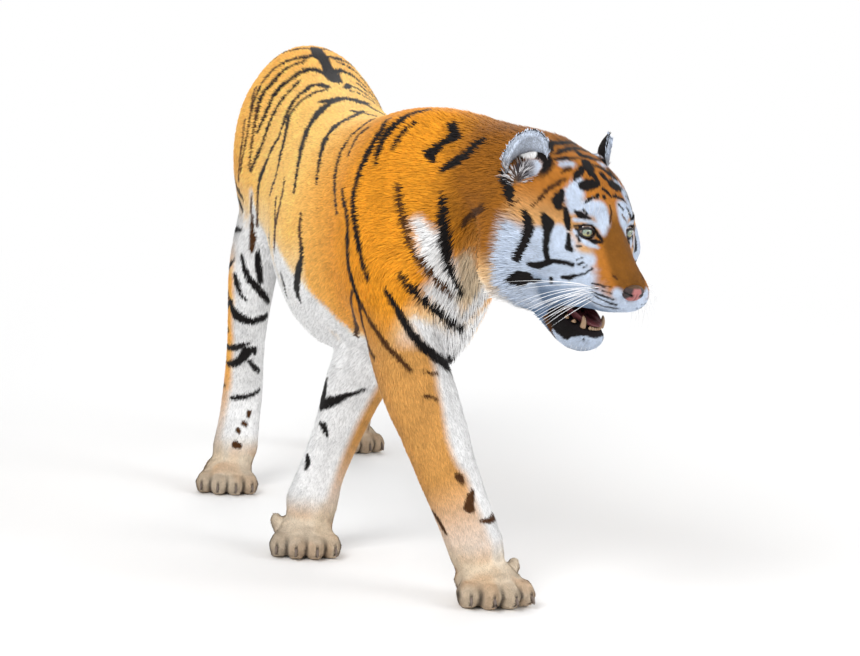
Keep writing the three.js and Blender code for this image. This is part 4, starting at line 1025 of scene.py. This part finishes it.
def coat_cut(body):
    """Length, width and lift of the tufts, in metres and radians, and how many stand on a square metre."""
    share, points = body.share, body.points
    _, ahead, up = body.head.T
    belly = ramp(0.22, 0.02, body.height)
    neck = ramp(1.18, 1.32, body.reach)
    breast = ramp(1.1, 1.25, body.reach) * ramp(0.5, 0.2, body.height)
    low = ramp(0.36, 0.10, points[:, 2])
    paw = ramp(0.12, 0.07, points[:, 2])
    ruff = ramp(-50, -125, ahead) * ramp(30, -30, up)
    face = ramp(-70, 0, ahead)
    values = []
    for row in (TUFT_LENGTH, TUFT_WIDTH, TUFT_LIFT, TUFT_COUNT):
        trunk, on_belly, on_neck, on_breast, leg, on_paw, tail, head, on_face, on_ruff = row
        on_trunk = trunk + on_belly * belly + on_neck * neck + on_breast * breast
        on_limb = leg + (on_paw - leg) * low * (0.5 + 0.5 * paw)
        on_head = head + (on_face - head) * face
        on_head = on_head + (on_ruff - on_head) * ruff
        value = share["trunk"] * on_trunk + body.legs * on_limb
        values.append(value + share["tail"] * tail + share["head"] * on_head)
    length, width, lift, count = values
    for side in (1, -1):
        shell, inner, axes = ear_cover(body, side)
        hairy = ramp(10, -35, axes[:, 2] + 0.5 * np.abs(axes[:, 0])) * inner
        length = length + (7 + 16 * hairy - length) * shell
        lift = lift + (12 + 26 * hairy - lift) * shell
    return length * MM, width * MM, np.radians(lift), count * 1e4


TUFTS = 462_000
PIECE_TUFTS = 65_000
PATCH = 0.003  # how much of the unwrap a tuft takes
SCATTER_SEED, TUFT_SEED, WHISKER_SEED = 11, 5, 21


def scatter(skin, density, total):
    """Evenly spread places on the skin: the corners of each one's triangle, and its shares of them."""
    mesh = skin.data
    mesh.calc_loop_triangles()
    corners = rows_of(mesh.loop_triangles, "vertices", 3, np.int32)
    points = places(skin)
    a, b, c = (points[corners[:, k]] for k in range(3))
    area = np.linalg.norm(np.cross(b - a, c - a), axis=1) / 2
    share = area * density[corners].mean(1)
    heap = np.cumsum(share) * min(1.0, total / share.sum())
    rng = np.random.default_rng(SCATTER_SEED)
    count = int(heap[-1])
    marks = np.arange(count) + rng.random(count)
    chosen = np.searchsorted(heap, np.minimum(marks, heap[-1] - 1e-6))
    u, v = rng.random(count), rng.random(count)
    flip = u + v > 1
    u[flip], v[flip] = 1 - u[flip], 1 - v[flip]
    return corners[chosen], np.stack([1 - u - v, u, v], 1)


# A tuft: two places at its foot, two at its middle and its tip. How dark each is, painted shade at the foot
# and lighter towards the tip, and where it lies on its patch.
TUFT_FACES = np.array([[0, 1, 3], [0, 3, 2], [2, 3, 4]])
TUFT_SHADE = np.array([0.62, 0.62, 0.95, 0.95, 1.12])
TUFT_PATCH = np.array([[0, 0], [1, 0], [0, 0.5], [1, 0.5], [0.5, 1]]) - 0.5
TUFT_ROUND = 0.22  # how far the edges of a tuft are shaded as if it were round


def tuft_mesh(name, roots, normal, lie, length, width, lift, tint, spot):
    """Flat tapered tufts of three triangles each, as one mesh."""
    across = unit(np.cross(lie, normal))
    rise = lie * np.cos(lift)[:, None] + normal * np.sin(lift)[:, None]
    bend = lie * np.cos(lift * 0.35)[:, None] + normal * np.sin(lift * 0.35)[:, None]
    foot = roots - normal * (0.6 * MM) - rise * (0.12 * length)[:, None]
    middle = foot + rise * (0.55 * length)[:, None]
    tip = middle + bend * (0.57 * length)[:, None]
    half = (across * width[:, None]) / 2
    vertices = [foot - half * 0.8, foot + half * 0.8, middle - half, middle + half, tip]
    vertices = np.stack(vertices, 1).reshape(-1, 3)
    vertices[:, 2] = np.maximum(vertices[:, 2], 0)
    base = (np.arange(len(roots)) * len(TUFT_SHADE))[:, None]
    faces = (base[:, None] + TUFT_FACES[None]).reshape(-1, 3)
    mesh = bpy.data.meshes.new(name)
    mesh.vertices.add(len(vertices))
    mesh.vertices.foreach_set("co", vertices.astype(np.float32).ravel())
    mesh.loops.add(faces.size)
    mesh.loops.foreach_set("vertex_index", faces.astype(np.int32).ravel())
    mesh.polygons.add(len(faces))
    mesh.polygons.foreach_set("loop_start", (np.arange(len(faces)) * 3).astype(np.int32))
    mesh.update()
    mesh.validate()
    write_colour(mesh, np.clip(tint[:, None] * TUFT_SHADE[None, :, None], 0, 1).reshape(-1, 3))
    uv = (spot[:, None] + TUFT_PATCH[None] * PATCH).reshape(-1, 2)
    unwrap = mesh.uv_layers.new(name="OFBake")
    unwrap.data.foreach_set("uv", uv[faces.ravel()].astype(np.float32).ravel())
    sideways = np.array([-1, 1, -1, 1, 0])[None, :, None]
    smooth = unit(normal[:, None] + TUFT_ROUND * across[:, None] * sideways).reshape(-1, 3)
    mesh.normals_split_custom_set_from_vertices(smooth.astype(np.float32))
    return placed(name, mesh)


COAT_PIECES = ["face", "cheeks", "neck", "shoulders", "flanks", "rump", *LEGS, "tail"]
# The trunk's coat pieces: the number of each, and from and to which reach along the trunk.
TRUNK_PIECES = ((2, 1.20, 1.50), (3, 0.95, 1.20), (4, 0.55, 0.95), (5, -0.05, 0.55))
NOSE_END, FACE_BACK, HEAD_BACK = 112, -45, -215


def part_of(body):
    """Which coat piece each point belongs to, and its place on that piece's unwrapped cylinder."""
    kind = np.zeros(len(body.points), int)
    spot = np.zeros((len(body.points), 2))

    def unwrap(mask, index, turn, reach, low, high):
        kind[mask] = index
        spot[mask, 0] = 0.01 + 0.98 * ((turn[mask] + math.pi) / (2 * math.pi))
        spot[mask, 1] = 0.01 + 0.98 * np.clip((reach[mask] - low) / (high - low), 0, 1)

    best = np.stack([body.share[name] for name in ("head", "trunk", *LEGS, "tail")]).argmax(0)
    left, ahead, up = body.head.T
    head_turn = np.arctan2(left, up + 60)
    unwrap((best == 0) & (ahead > FACE_BACK), 0, head_turn, ahead, FACE_BACK, NOSE_END)
    unwrap((best == 0) & (ahead <= FACE_BACK), 1, head_turn, ahead, HEAD_BACK, FACE_BACK)
    for index, low, high in TRUNK_PIECES:
        own = (best == 1) & (body.reach > low) & (body.reach <= high)
        unwrap(own, index, body.turn, body.reach, low, high)
    for number, name in enumerate((*LEGS, "tail")):
        turn, reach, length = body.limb_turn[name], body.limb_reach[name], body.limb_length[name]
        unwrap(best == 2 + number, 6 + number, turn, reach, 0, length)
    return kind, spot


def make_coat(skin, skin_body, material):
    """The coat: tufts all over the skin but for the eyes, mouth and soles, in pieces."""
    length, width, lift, count = coat_cut(skin_body)
    bare = np.maximum(mouth_cover(skin_body), eye_cover(skin_body)) > 0.35
    sole = (skin_body.normal[:, 2] < -0.6) & (skin_body.points[:, 2] < 0.03)
    density = np.where(bare | sole, 0, count)
    corners, mix = scatter(skin, density, TUFTS)

    def blend(values):
        return (values[corners] * mix.reshape(*mix.shape, *[1] * (values.ndim - 1))).sum(1)

    roots, normal = blend(skin_body.points), unit(blend(skin_body.normal))
    lie = unit(blend(lie_of(skin_body)))
    body = Body(roots, normal)
    length, width, lift = blend(length), blend(width), blend(lift)
    rng = np.random.default_rng(TUFT_SEED)
    chance = rng.random((len(roots), 4))
    fine, broad = (np.stack([noise(roots, size, seed + k) for k in range(3)], 1)
                   for size, seed in ((0.011, 20), (0.035, 30)))
    lie = lie + (fine * 0.20 + broad * 0.16) + (rng.random((len(roots), 3)) - 0.5) * 0.30
    lie = unit(lie - (lie * normal).sum(1)[:, None] * normal)
    length = length * (0.75 + 0.5 * chance[:, 0])
    width = width * (0.8 + 0.4 * chance[:, 1])
    lift = lift * (0.5 + chance[:, 2])
    tint = paint_of(Body(roots + lie * (0.45 * length)[:, None], normal)) * (0.80 + 0.38 * chance[:, 3:4])
    for side in (1, -1):
        _, inner, axes = ear_cover(body, side)
        hair = inner * ramp(16, -20, axes[:, 2] + 0.4 * np.abs(axes[:, 0])) * (chance[:, 3] > 0.62)
        tint = mixed(tint, EAR_HAIR, hair * 0.9)
    kind, spot = part_of(body)
    for index, name in enumerate(COAT_PIECES):
        own = np.flatnonzero(kind == index)
        for number, start in enumerate(range(0, len(own), PIECE_TUFTS)):
            take = own[start:start + PIECE_TUFTS]
            label = "coat_" + name + ("" if number == 0 else "_%d" % (number + 1))
            cut = (rows[take] for rows in (roots, normal, lie, length, width, lift, tint, spot))
            piece = tuft_mesh(label, *cut)
            piece.data.materials.append(material)
            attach(piece, "root")


# ---- finishes ------------------------------------------------------------------------------------

class Value:
    """A number that runs through a shader. Products of values and numbers add Math nodes."""

    def __init__(self, tree, socket):
        self.tree = tree
        self.socket = socket

    def __mul__(self, other):
        return add_node(self.tree, "ShaderNodeMath", {"operation": "MULTIPLY"}, {0: self, 1: other})

    __rmul__ = __mul__

    def most(self, other):
        """The greater of two values."""
        return add_node(self.tree, "ShaderNodeMath", {"operation": "MAXIMUM"}, {0: self, 1: other})


def feed(tree, node, inputs):
    """Gives a node's sockets their numbers or links."""
    for name, value in inputs.items():
        if isinstance(value, Value):
            tree.links.new(value.socket, node.inputs[name])
        else:
            node.inputs[name].default_value = value


def add_node(tree, kind, settings, inputs, output=0):
    """Adds a node with its settings and then its sockets, and gives one of its outputs."""
    node = tree.nodes.new(kind)
    for name, setting in settings.items():
        setattr(node, name, setting)
    feed(tree, node, inputs)
    return Value(tree, node.outputs[output])


def new_finish(name):
    """A material, its node tree and its surface."""
    material = bpy.data.materials.new(name)
    material.use_nodes = True
    return material, material.node_tree, material.node_tree.nodes["Principled BSDF"]


BUMP_DEPTH = 0.002
WET_ROUGHNESS = 0.05


def finish_of(name, roughness, bump=0.0, grain=700.0, sheen=0.0, gloss=0.0, shine=0.25):
    """A finish that takes its colour from the mesh's own coat colours."""
    material, tree, surface = new_finish(name)
    feed(tree, surface, {
        "Roughness": roughness, "Specular IOR Level": shine, "Sheen Weight": sheen,
        "Coat Weight": gloss, "Coat Roughness": WET_ROUGHNESS,
        "Base Color": add_node(tree, "ShaderNodeAttribute", {"attribute_name": "coat"}, {}, "Color"),
    })
    if bump:
        place = add_node(tree, "ShaderNodeTexCoord", {}, {}, "Object")
        height = add_node(tree, "ShaderNodeTexNoise", {}, {"Vector": place, "Scale": grain}, "Fac")
        relief = {"Strength": bump, "Distance": BUMP_DEPTH, "Height": height}
        feed(tree, surface, {"Normal": add_node(tree, "ShaderNodeBump", {}, relief, "Normal")})
    return material


# ---- eyes, nose, mouth, whiskers and claws -------------------------------------------------------

EYE_BALL = 17.5
EYE_SIDES = {"right_eye": -1, "left_eye": 1}
EYES_APART, EYES_RAISED = math.radians(20), 0.08  # how far each gaze turns out, and how far it is raised


def eye_frame(side):
    """Middle of an eye, and its axes: to the head's left, up, and along the gaze."""
    gaze = unit(LEFT * side * math.sin(EYES_APART) + AHEAD * math.cos(EYES_APART) + UP * EYES_RAISED)
    up = unit(UP - (UP @ gaze) * gaze)
    return np.stack([np.cross(up, gaze), up, gaze], 1)


def finished(obj, material, tones, slot_name, *nodes):
    """Gives a piece its colours and finish, and lets it ride with the body."""
    write_colour(obj.data, np.clip(tones, 0, 1))
    obj.data.materials.clear()
    obj.data.materials.append(material)
    only(obj)
    bpy.ops.object.shade_smooth()
    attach(obj, "root")
    if nodes:
        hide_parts(*nodes)
    return obj


def ball(name, segments, rings):
    bpy.ops.object.select_all(action="DESELECT")
    bpy.ops.mesh.primitive_uv_sphere_add(segments=segments, ring_count=rings, radius=1)
    obj = bpy.context.object
    obj.name = name
    return obj


def set_in_head(obj, at, shape):
    """Puts a shape (left, back, up) at a place in the head (left, ahead, up), both in millimetres."""
    left, back, up = shape.T
    move_to(obj, EYES + ((at[0] + left)[:, None] * LEFT + (at[1] - back)[:, None] * AHEAD
                         + (at[2] + up)[:, None] * UP) * MM)


def make_eye(node, material):
    axes = eye_frame(EYE_SIDES[node])
    eye = ball(node + "_ball", 64, 56)
    shape = unit(places(eye))
    angle = math.pi * (np.arccos(np.clip(shape[:, 2], -1, 1)) / math.pi) ** 1.6
    around = np.arctan2(shape[:, 1], shape[:, 0])
    shape = np.stack([np.sin(angle) * np.cos(around), np.sin(angle) * np.sin(around), np.cos(angle)], 1)
    degrees = np.degrees(angle)
    radius = EYE_BALL * (1 + 0.10 * ramp(38, 12, degrees))
    move_to(eye, middle_of(node) + (shape * radius[:, None]) @ axes.T * MM)
    streaks = noise(np.stack([np.cos(around) * 5, np.sin(around) * 5, degrees / 30], 1), 0.5, 4)
    iris = mixed(colour(128, 144, 130), colour(170, 156, 84), ramp(0.1, -0.9, np.sin(around)) * 0.7)
    iris = iris * (1 + 0.25 * streaks)[:, None]
    iris = mixed(iris, colour(176, 170, 110), ramp(15, 9, degrees) * 0.4)
    tones = mixed(iris, colour(36, 40, 40), ramp(28, 32, degrees))
    tones = mixed(tones, colour(104, 82, 70), ramp(34, 38, degrees))
    tones = mixed(tones, colour(4, 4, 5), ramp(9.5, 8.0, degrees))
    return finished(eye, material, tones, "eye", node)


def looped(name, grid):
    """A tube through rings of places that closes on its first ring."""
    rows, sides = grid.shape[:2]
    faces = []
    for i in range(rows):
        here, there = i * sides, ((i + 1) % rows) * sides
        for j in range(sides):
            k = (j + 1) % sides
            faces.append((here + j, here + k, there + k, there + j))
    return piece_of(name, grid.reshape(-1, 3), faces)


# How the lids run round an eye: how much wider than the opening, and how far over the ball, in millimetres.
LID_ROWS = [(0.94, -1.5), (0.98, 1.2), (1.05, 2.4), (1.2, 2.7), (1.45, 2.2), (1.7, 0.6), (1.8, -3), (1.2, -5)]
LID_WIDE, LID_UP, LID_DOWN = 52, 19, 21


def make_lids(node, material):
    side, axes = EYE_SIDES[node], eye_frame(EYE_SIDES[node])
    turn = np.linspace(0, 2 * math.pi, 72, endpoint=False)
    out, up = np.cos(turn), np.sin(turn)
    corner = ramp(0.45, 1, -out)
    wide = LID_WIDE * out - 10 * corner
    high = np.where(up > 0, LID_UP, LID_DOWN) * up * (1 - 0.3 * out ** 2) - 9 * corner - 2 * out
    grid = []
    for scale, over in LID_ROWS:
        x, y = np.radians(wide * scale) * side, np.radians(high * scale)
        far = np.hypot(x, y)
        x, y = x / far * np.sin(far), y / far * np.sin(far)
        ways = x[:, None] * axes[:, 0] + y[:, None] * axes[:, 1] + np.cos(far)[:, None] * axes[:, 2]
        grid.append(middle_of(node) + ways * (EYE_BALL + over) * MM)
    return finished(looped(node + "_lids", np.array(grid)), material, colour(24, 19, 20), "coat_rust")


NOSE_AT, NOSE_SIZE = (0, 104, -71), np.array([25, 11, 14])
TONGUE_AT, TONGUE_SIZE = (0, -8, -161), np.array([27, 57, 9])


def make_nose(material):
    nose = ball("nose_pad", 96, 64)
    shape = unit(places(nose))
    x, y, z = shape.T
    side, front = np.abs(x), ramp(0.15, -0.3, y)
    hole = np.exp(-((side - 0.46) / 0.17) ** 2 - ((z + 0.22 - 0.25 * (side - 0.46)) / 0.24) ** 2) * front
    slit = np.exp(-((z + 0.10 - 0.5 * (side - 0.6)) / 0.13) ** 2) * ramp(0.45, 0.62, side) * front
    groove = np.exp(-(x / 0.05) ** 2) * ramp(0.35, -0.1, z) * front
    wing = np.exp(-((side - 0.22) / 0.2) ** 2)
    size = 1.03 - 0.42 * hole - 0.16 * slit - 0.07 * groove + 0.05 * wing * front
    set_in_head(nose, NOSE_AT, shape * size[:, None] * NOSE_SIZE)
    dark = np.clip(1.5 * hole + 1.2 * slit + 0.5 * groove, 0, 1)
    tones = mixed(colour(172, 104, 102), colour(96, 62, 58), ramp(0.55, 0.9, z) * 0.7)
    tones = mixed(tones, INKS["black"], dark)
    tones = mixed(tones, INKS["black"], ramp(0.36, 0.6, side + 0.25 * z) * 0.95)
    tones = mixed(tones, BRIDGE * 0.35, ramp(0.6, 0.85, z))
    return finished(nose, material, tones, "nose_skin", "nose")


def make_tongue(material):
    tongue = ball("tongue_blade", 64, 48)
    shape = unit(places(tongue))
    x, y, z = shape.T
    groove = np.exp(-(x / 0.16) ** 2) * ramp(0, 0.5, z) * ramp(-0.95, -0.5, y)
    curl = 5 * np.clip(np.abs(x) - 0.4, 0, 1) ** 2 * 6
    shape = shape * TONGUE_SIZE
    shape[:, 2] += curl - 3.5 * groove
    set_in_head(tongue, TONGUE_AT, shape)
    # Painted shade: the tongue is dark as it lies in the mouth's shade, darkest in its groove and towards the
    # back.
    tones = mixed(colour(98, 48, 52), colour(60, 28, 32), np.clip(groove + ramp(0.0, 0.9, y), 0, 1))
    return finished(tongue, material, tones, "tongue_skin", "tongue")


# Two ways that no path runs along, to measure a tube's sides from.
NEAR_UPRIGHT, NEAR_LEVEL = np.array([0.13, 0.21, 0.97]), np.array([1.0, 0.1, 0])


def tubes(name, paths, radii, sides, flat=1.0):
    """Many tapering tubes in one mesh. Each path is a row of places, each radius a row of metres."""
    all_points, faces, done = [], [], 0
    turn = np.linspace(0, 2 * math.pi, sides, endpoint=False)
    for path, thick in zip(paths, radii):
        run = unit(np.gradient(path, axis=0))
        across = unit(np.cross(run, NEAR_UPRIGHT if abs(run[0, 2]) < 0.8 else NEAR_LEVEL))
        over = np.cross(across, run)
        ring = across[:, None] * np.cos(turn)[None, :, None]
        ring = ring + flat * over[:, None] * np.sin(turn)[None, :, None]
        all_points.append((path[:, None] + ring * thick[:, None, None]).reshape(-1, 3))
        rows = len(path)
        for i in range(rows - 1):
            for j in range(sides):
                k = (j + 1) % sides
                a, b = done + i * sides, done + (i + 1) * sides
                faces.append((a + j, a + k, b + k, b + j))
        faces.append(tuple(done + j for j in range(sides))[::-1])
        faces.append(tuple(done + (rows - 1) * sides + j for j in range(sides)))
        done += rows * sides
    return piece_of(name, np.concatenate(all_points), faces)


def horn(root, tip, bow, steps=9):
    """A curved line of places from root to tip that bows by the given offset."""
    part = np.linspace(0, 1, steps)[:, None]
    return root + (tip - root) * part + bow * (4 * part * (1 - part))


def make_teeth(material):
    paths, radii = [], []
    taper = np.sqrt(np.clip(1 - np.linspace(0, 1, 9) ** 1.6, 0.004, 1))
    for side in (-1, 1):
        for at, length, base in (([26, 72, -94], -19, 5.0), ([22, 32, -170], 21, 5.4)):
            root = head_point(at[0] * side, at[1], at[2])
            tip = root + UP * length * MM - AHEAD * 5 * MM + LEFT * side * (2 if length > 0 else 0) * MM
            paths.append(horn(root, tip, AHEAD * 2.5 * MM))
            radii.append(base * taper * MM)
    small = np.sqrt(np.clip(1 - np.linspace(0, 1, 6) ** 2.5, 0.01, 1))
    for count, at, width, length in ((6, [87, -99], 15, -8), (6, [43, -170], 12, 4.5)):
        for k in range(count):
            out = (k - (count - 1) / 2) / ((count - 1) / 2)
            root = head_point(out * width, at[0] - 3 * out ** 2, at[1])
            tip = root + UP * length * (1 + 0.25 * abs(out)) * MM
            paths.append(horn(root, tip, AHEAD * 0.8 * MM, 6))
            radii.append((2.4 + 0.7 * abs(out)) * small * MM)
    for side in (-1, 1):  # cheek teeth
        for k, at in enumerate(([35, 42, -100], [38, 24, -101], [40, 4, -102])):
            root = head_point(at[0] * side, at[1], at[2])
            paths.append(horn(root, root - UP * (11 + 2 * k) * MM, AHEAD * 0, 6))
            radii.append(np.array([5, 5, 4.4, 3.4, 2.2, 0.5]) * MM)
            low = head_point((29 + 2 * k) * side, 14 - 18 * k, -168)
            paths.append(horn(low, low + UP * (6 + 1.5 * k) * MM, AHEAD * 0, 6))
            radii.append(np.array([4.4, 4.4, 3.8, 2.9, 1.8, 0.4]) * MM)
    teeth = tubes("teeth", paths, radii, 14)
    spots = places(teeth)
    # Tan teeth, darkened as painted shade inside the mouth, with uneven stain.
    stain = ramp(0.2, 0.9, 0.5 + noise(spots, 0.012, 6)) * 0.6
    tones = mixed(colour(160, 134, 106), colour(150, 112, 80), stain)
    return finished(teeth, material, tones, None)


def make_whiskers(skin, material):
    rng = np.random.default_rng(WHISKER_SEED)
    paths, radii = [], []

    def grow(start, way, end_way, length, thick):
        found, spot, _, _ = skin.closest_point_on_mesh(Vector(start))
        spot = np.array(spot) if found else start
        steps = np.linspace(0, 1, 12)[:, None]
        line = spot - way * 2 * MM + length * (way * (steps - 0.5 * steps ** 2) + end_way * 0.5 * steps ** 2)
        paths.append(line)
        radii.append(thick * np.clip(1 - steps[:, 0] ** 1.4 * 0.92, 0.06, 1))

    for side in (-1, 1):
        for row in range(4):
            for k in range(5):
                shake = rng.normal(0, 1, 5)
                start = head_point(side * (50 + 2.5 * k), 75 - 8 * k - 2 * row, -76 - 7 * row - 1.5 * k)
                way = unit(LEFT * side * 0.9 - AHEAD * (0.05 + 0.1 * k) - UP * (0.05 + 0.16 * row)
                           + 0.08 * shake[0] * UP)
                end = unit(LEFT * side * (0.55 + 0.1 * shake[1]) - AHEAD * (0.55 + 0.1 * shake[2])
                           - UP * (0.55 + 0.26 * row + 0.12 * shake[3]))
                grow(start, way, end, (0.10 + 0.017 * k + 0.012 * shake[4]), 0.65 * MM)
        for k in range(4):
            start = head_point(side * (38 + 7 * k), 4 - 4 * k, 38 - 2 * k)
            way = unit(LEFT * side * (0.2 + 0.15 * k) + AHEAD * 0.5 + UP * 0.8)
            end = unit(way + LEFT * side * 0.5 - AHEAD * 0.5 - UP * 0.1)
            grow(start, way, end, 0.055 + 0.006 * k, 0.35 * MM)
        for k in range(5):
            start = head_point(side * (8 + 6 * k), 60 - 8 * k, -208)
            grow(start, unit(-UP + LEFT * side * 0.2 + AHEAD * 0.2), unit(-UP - AHEAD * 0.4), 0.028, 0.3 * MM)
    return finished(tubes("whiskers", paths, radii, 5), material, colour(242, 243, 246), "coat_cream")


# Paws: place on the floor, heading in degrees, size against a full fore paw. Toes: side, ahead and splay.
PAWS = [((118, -630), 6, 1.04), ((-133, -183), -9, 0.99), ((-154, 476), -12, 0.93), ((241, 980), 4, 0.9)]
PAW_TOES = [(-50, 28, -12), (-18, 46, -4), (18, 46, 4), (50, 28, 12)]


def toes():
    """For each toe: its middle on the floor, axes (left, back, up) and size."""
    for (x, y), heading, size in PAWS:
        stand = np.array([x, y, 0]) * MM + SHIFT * [1, 1, 0]
        paw = turned(heading)
        for side, ahead, splay in PAW_TOES:
            yield stand + (paw[:, 0] * side - paw[:, 1] * ahead) * size * MM, turned(heading + splay), size


def toe_places(points, toe):
    """Points beside a toe, in its own millimetres: to its left, ahead and up."""
    middle, axes_of, size = toe
    off = (points - middle) / (MM * size)
    return np.stack([off @ axes_of[:, 0], -off @ axes_of[:, 1], off @ axes_of[:, 2]], 1)


def make_claws(material):
    paths, radii = [], []
    for middle, axes_of, size in toes():
        ahead, up = -axes_of[:, 1], axes_of[:, 2]
        root = middle + (ahead * 28 + up * 25) * size * MM
        tip = middle + (ahead * 47 + up * 10) * size * MM
        paths.append(horn(root, tip, (ahead * 3.5 + up * 3) * MM))
        radii.append(3.4 * size * np.sqrt(np.clip(1 - np.linspace(0, 1, 9) ** 1.5, 0.01, 1)) * MM)
    return finished(tubes("claws", paths, radii, 10, 1.3), material, colour(108, 94, 84), None)


# ---- view ----------------------------------------------------------------------------------------

# The view: where it stands, its turn, dip and lean in radians, and its lens, on an image of the given
# width.
VIEW_AT = np.array([-1701.98, -6912.33, 1408.50]) * MM + SHIFT
VIEW_TURN, VIEW_DIP, VIEW_LEAN = 0.261618168, 0.136686086, 0.0519553542
VIEW_LENS, IMAGE_WIDTH, SENSOR_WIDTH = 3585.89884, 860, 36
# The lamps: where each stands and aims, how wide it is, in metres, and its power in watts.
LAMPS = {
    "key": ((-3.2, -4.2, 4.6), (0, -0.2, 0.5), 2.6, 240),
    "fill": ((4.2, -3.4, 2.6), (0, -0.2, 0.5), 3.0, 115),
    "rim": ((1.5, 4.8, 3.8), (0, 0.2, 0.6), 2.4, 80),
}
WHITE_LIGHT, FLOOR_GREY = (1, 1, 1, 1), (0.86, 0.86, 0.86, 1)
SKY_POWER = 0.68
FLOOR_WIDTH, FLOOR_ROUGHNESS = 60, 0.9
FADE_FROM, FADE_TO = 1.6, 4.5  # metres from the middle over which the floor turns into the backdrop


def make_view():
    ahead = np.array([math.sin(VIEW_TURN) * math.cos(VIEW_DIP), math.cos(VIEW_TURN) * math.cos(VIEW_DIP),
                      -math.sin(VIEW_DIP)])
    level = np.array([math.cos(VIEW_TURN), -math.sin(VIEW_TURN), 0])
    above = np.cross(level, ahead)
    right = level * math.cos(VIEW_LEAN) + above * math.sin(VIEW_LEAN)
    top = -level * math.sin(VIEW_LEAN) + above * math.cos(VIEW_LEAN)
    data = bpy.data.cameras.new("view")
    data.sensor_width = SENSOR_WIDTH
    data.lens = SENSOR_WIDTH * VIEW_LENS / IMAGE_WIDTH
    data.clip_end = FLOOR_WIDTH
    camera = placed("view", data)
    matrix = Matrix(np.stack([right, top, -ahead], 1).tolist()).to_4x4()
    matrix.translation = Vector(VIEW_AT)
    camera.matrix_world = matrix
    bpy.context.scene.camera = camera


def backdrop_rays(tree):
    """1 for the rays that show the backdrop: from the view, off gloss and through glass."""
    rays = tree.nodes.new("ShaderNodeLightPath").outputs
    view, gloss, glass = (Value(tree, rays[kind]) for kind in (
        "Is Camera Ray", "Is Glossy Ray", "Is Transmission Ray"))
    return view.most(gloss).most(glass)


def whiten(tree, surface):
    """Shows the far floor as a white backdrop to those rays, so that no horizon is seen."""
    place = add_node(tree, "ShaderNodeTexCoord", {}, {}, "Object")
    far = add_node(tree, "ShaderNodeVectorMath", {"operation": "LENGTH"}, {0: place}, "Value")
    fade = add_node(tree, "ShaderNodeMapRange", {"interpolation_type": "SMOOTHSTEP"}, {
        "Value": far, "From Min": FADE_FROM, "From Max": FADE_TO}, "Result")
    white = add_node(tree, "ShaderNodeEmission", {}, {})
    either = add_node(tree, "ShaderNodeMixShader", {}, {
        "Fac": fade * backdrop_rays(tree), 1: Value(tree, surface.outputs["BSDF"]), 2: white})
    feed(tree, tree.nodes["Material Output"], {"Surface": either})


def make_sky():
    """Even white light, behind a white backdrop."""
    world = bpy.data.worlds.new("studio")
    bpy.context.scene.world = world
    world.use_nodes = True
    tree = world.node_tree
    light = tree.nodes["Background"]
    feed(tree, light, {"Color": WHITE_LIGHT, "Strength": SKY_POWER})
    seen = add_node(tree, "ShaderNodeBackground", {}, {"Color": WHITE_LIGHT})
    either = add_node(tree, "ShaderNodeMixShader", {}, {
        "Fac": backdrop_rays(tree), 1: Value(tree, light.outputs["Background"]), 2: seen})
    feed(tree, tree.nodes["World Output"], {"Surface": either})


def make_lamps():
    for name, (at, aim, size, power) in LAMPS.items():
        lamp = bpy.data.lights.new(name, "AREA")
        lamp.size = size
        lamp.energy = power
        holder = placed(name, lamp)
        holder.location = at
        holder.rotation_euler = (Vector(aim) - Vector(at)).to_track_quat("-Z", "Y").to_euler()


def make_floor():
    bpy.ops.mesh.primitive_plane_add(size=FLOOR_WIDTH, location=(0, 0, 0))
    floor = bpy.context.object
    floor.name = "floor"
    material, tree, surface = new_finish("floor")
    feed(tree, surface, {"Base Color": FLOOR_GREY, "Roughness": FLOOR_ROUGHNESS})
    whiten(tree, surface)
    floor.data.materials.append(material)


# ---- the whole animal ----------------------------------------------------------------------------

make_view()
make_sky()
make_lamps()
make_floor()
bpy.context.scene.view_settings.view_transform = "Standard"

skin = make_skin()
skin_body = Body(places(skin), normals(skin))
lay_marks(skin)
write_colour(skin.data, paint_of(skin_body))
only(skin)
bpy.ops.object.shade_smooth()
skin.data.materials.clear()
skin.data.materials.append(finish_of("skin", 0.8, bump=0.5, shine=0.12))
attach(skin, "root")
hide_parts(*FLESH)
make_coat(skin, skin_body, finish_of("coat", 0.7, sheen=0.04, shine=0.12))
wet = finish_of("eye", 0.12, bump=0.05, grain=900, gloss=1.0, shine=0.5)
leather = finish_of("leather", 0.42, bump=0.5, grain=1400, shine=0.4)
for node in EYE_SIDES:
    make_eye(node, wet)
    make_lids(node, leather)
make_nose(leather)
make_tongue(finish_of("tongue", 0.4, bump=0.6, grain=900, shine=0.4))
make_teeth(finish_of("teeth", 0.3, bump=0.1, grain=300, shine=0.5))
make_whiskers(skin, finish_of("whisker", 0.35, bump=0.05, grain=400, shine=0.4))
make_claws(finish_of("horn", 0.35, bump=0.15, grain=900, shine=0.4))
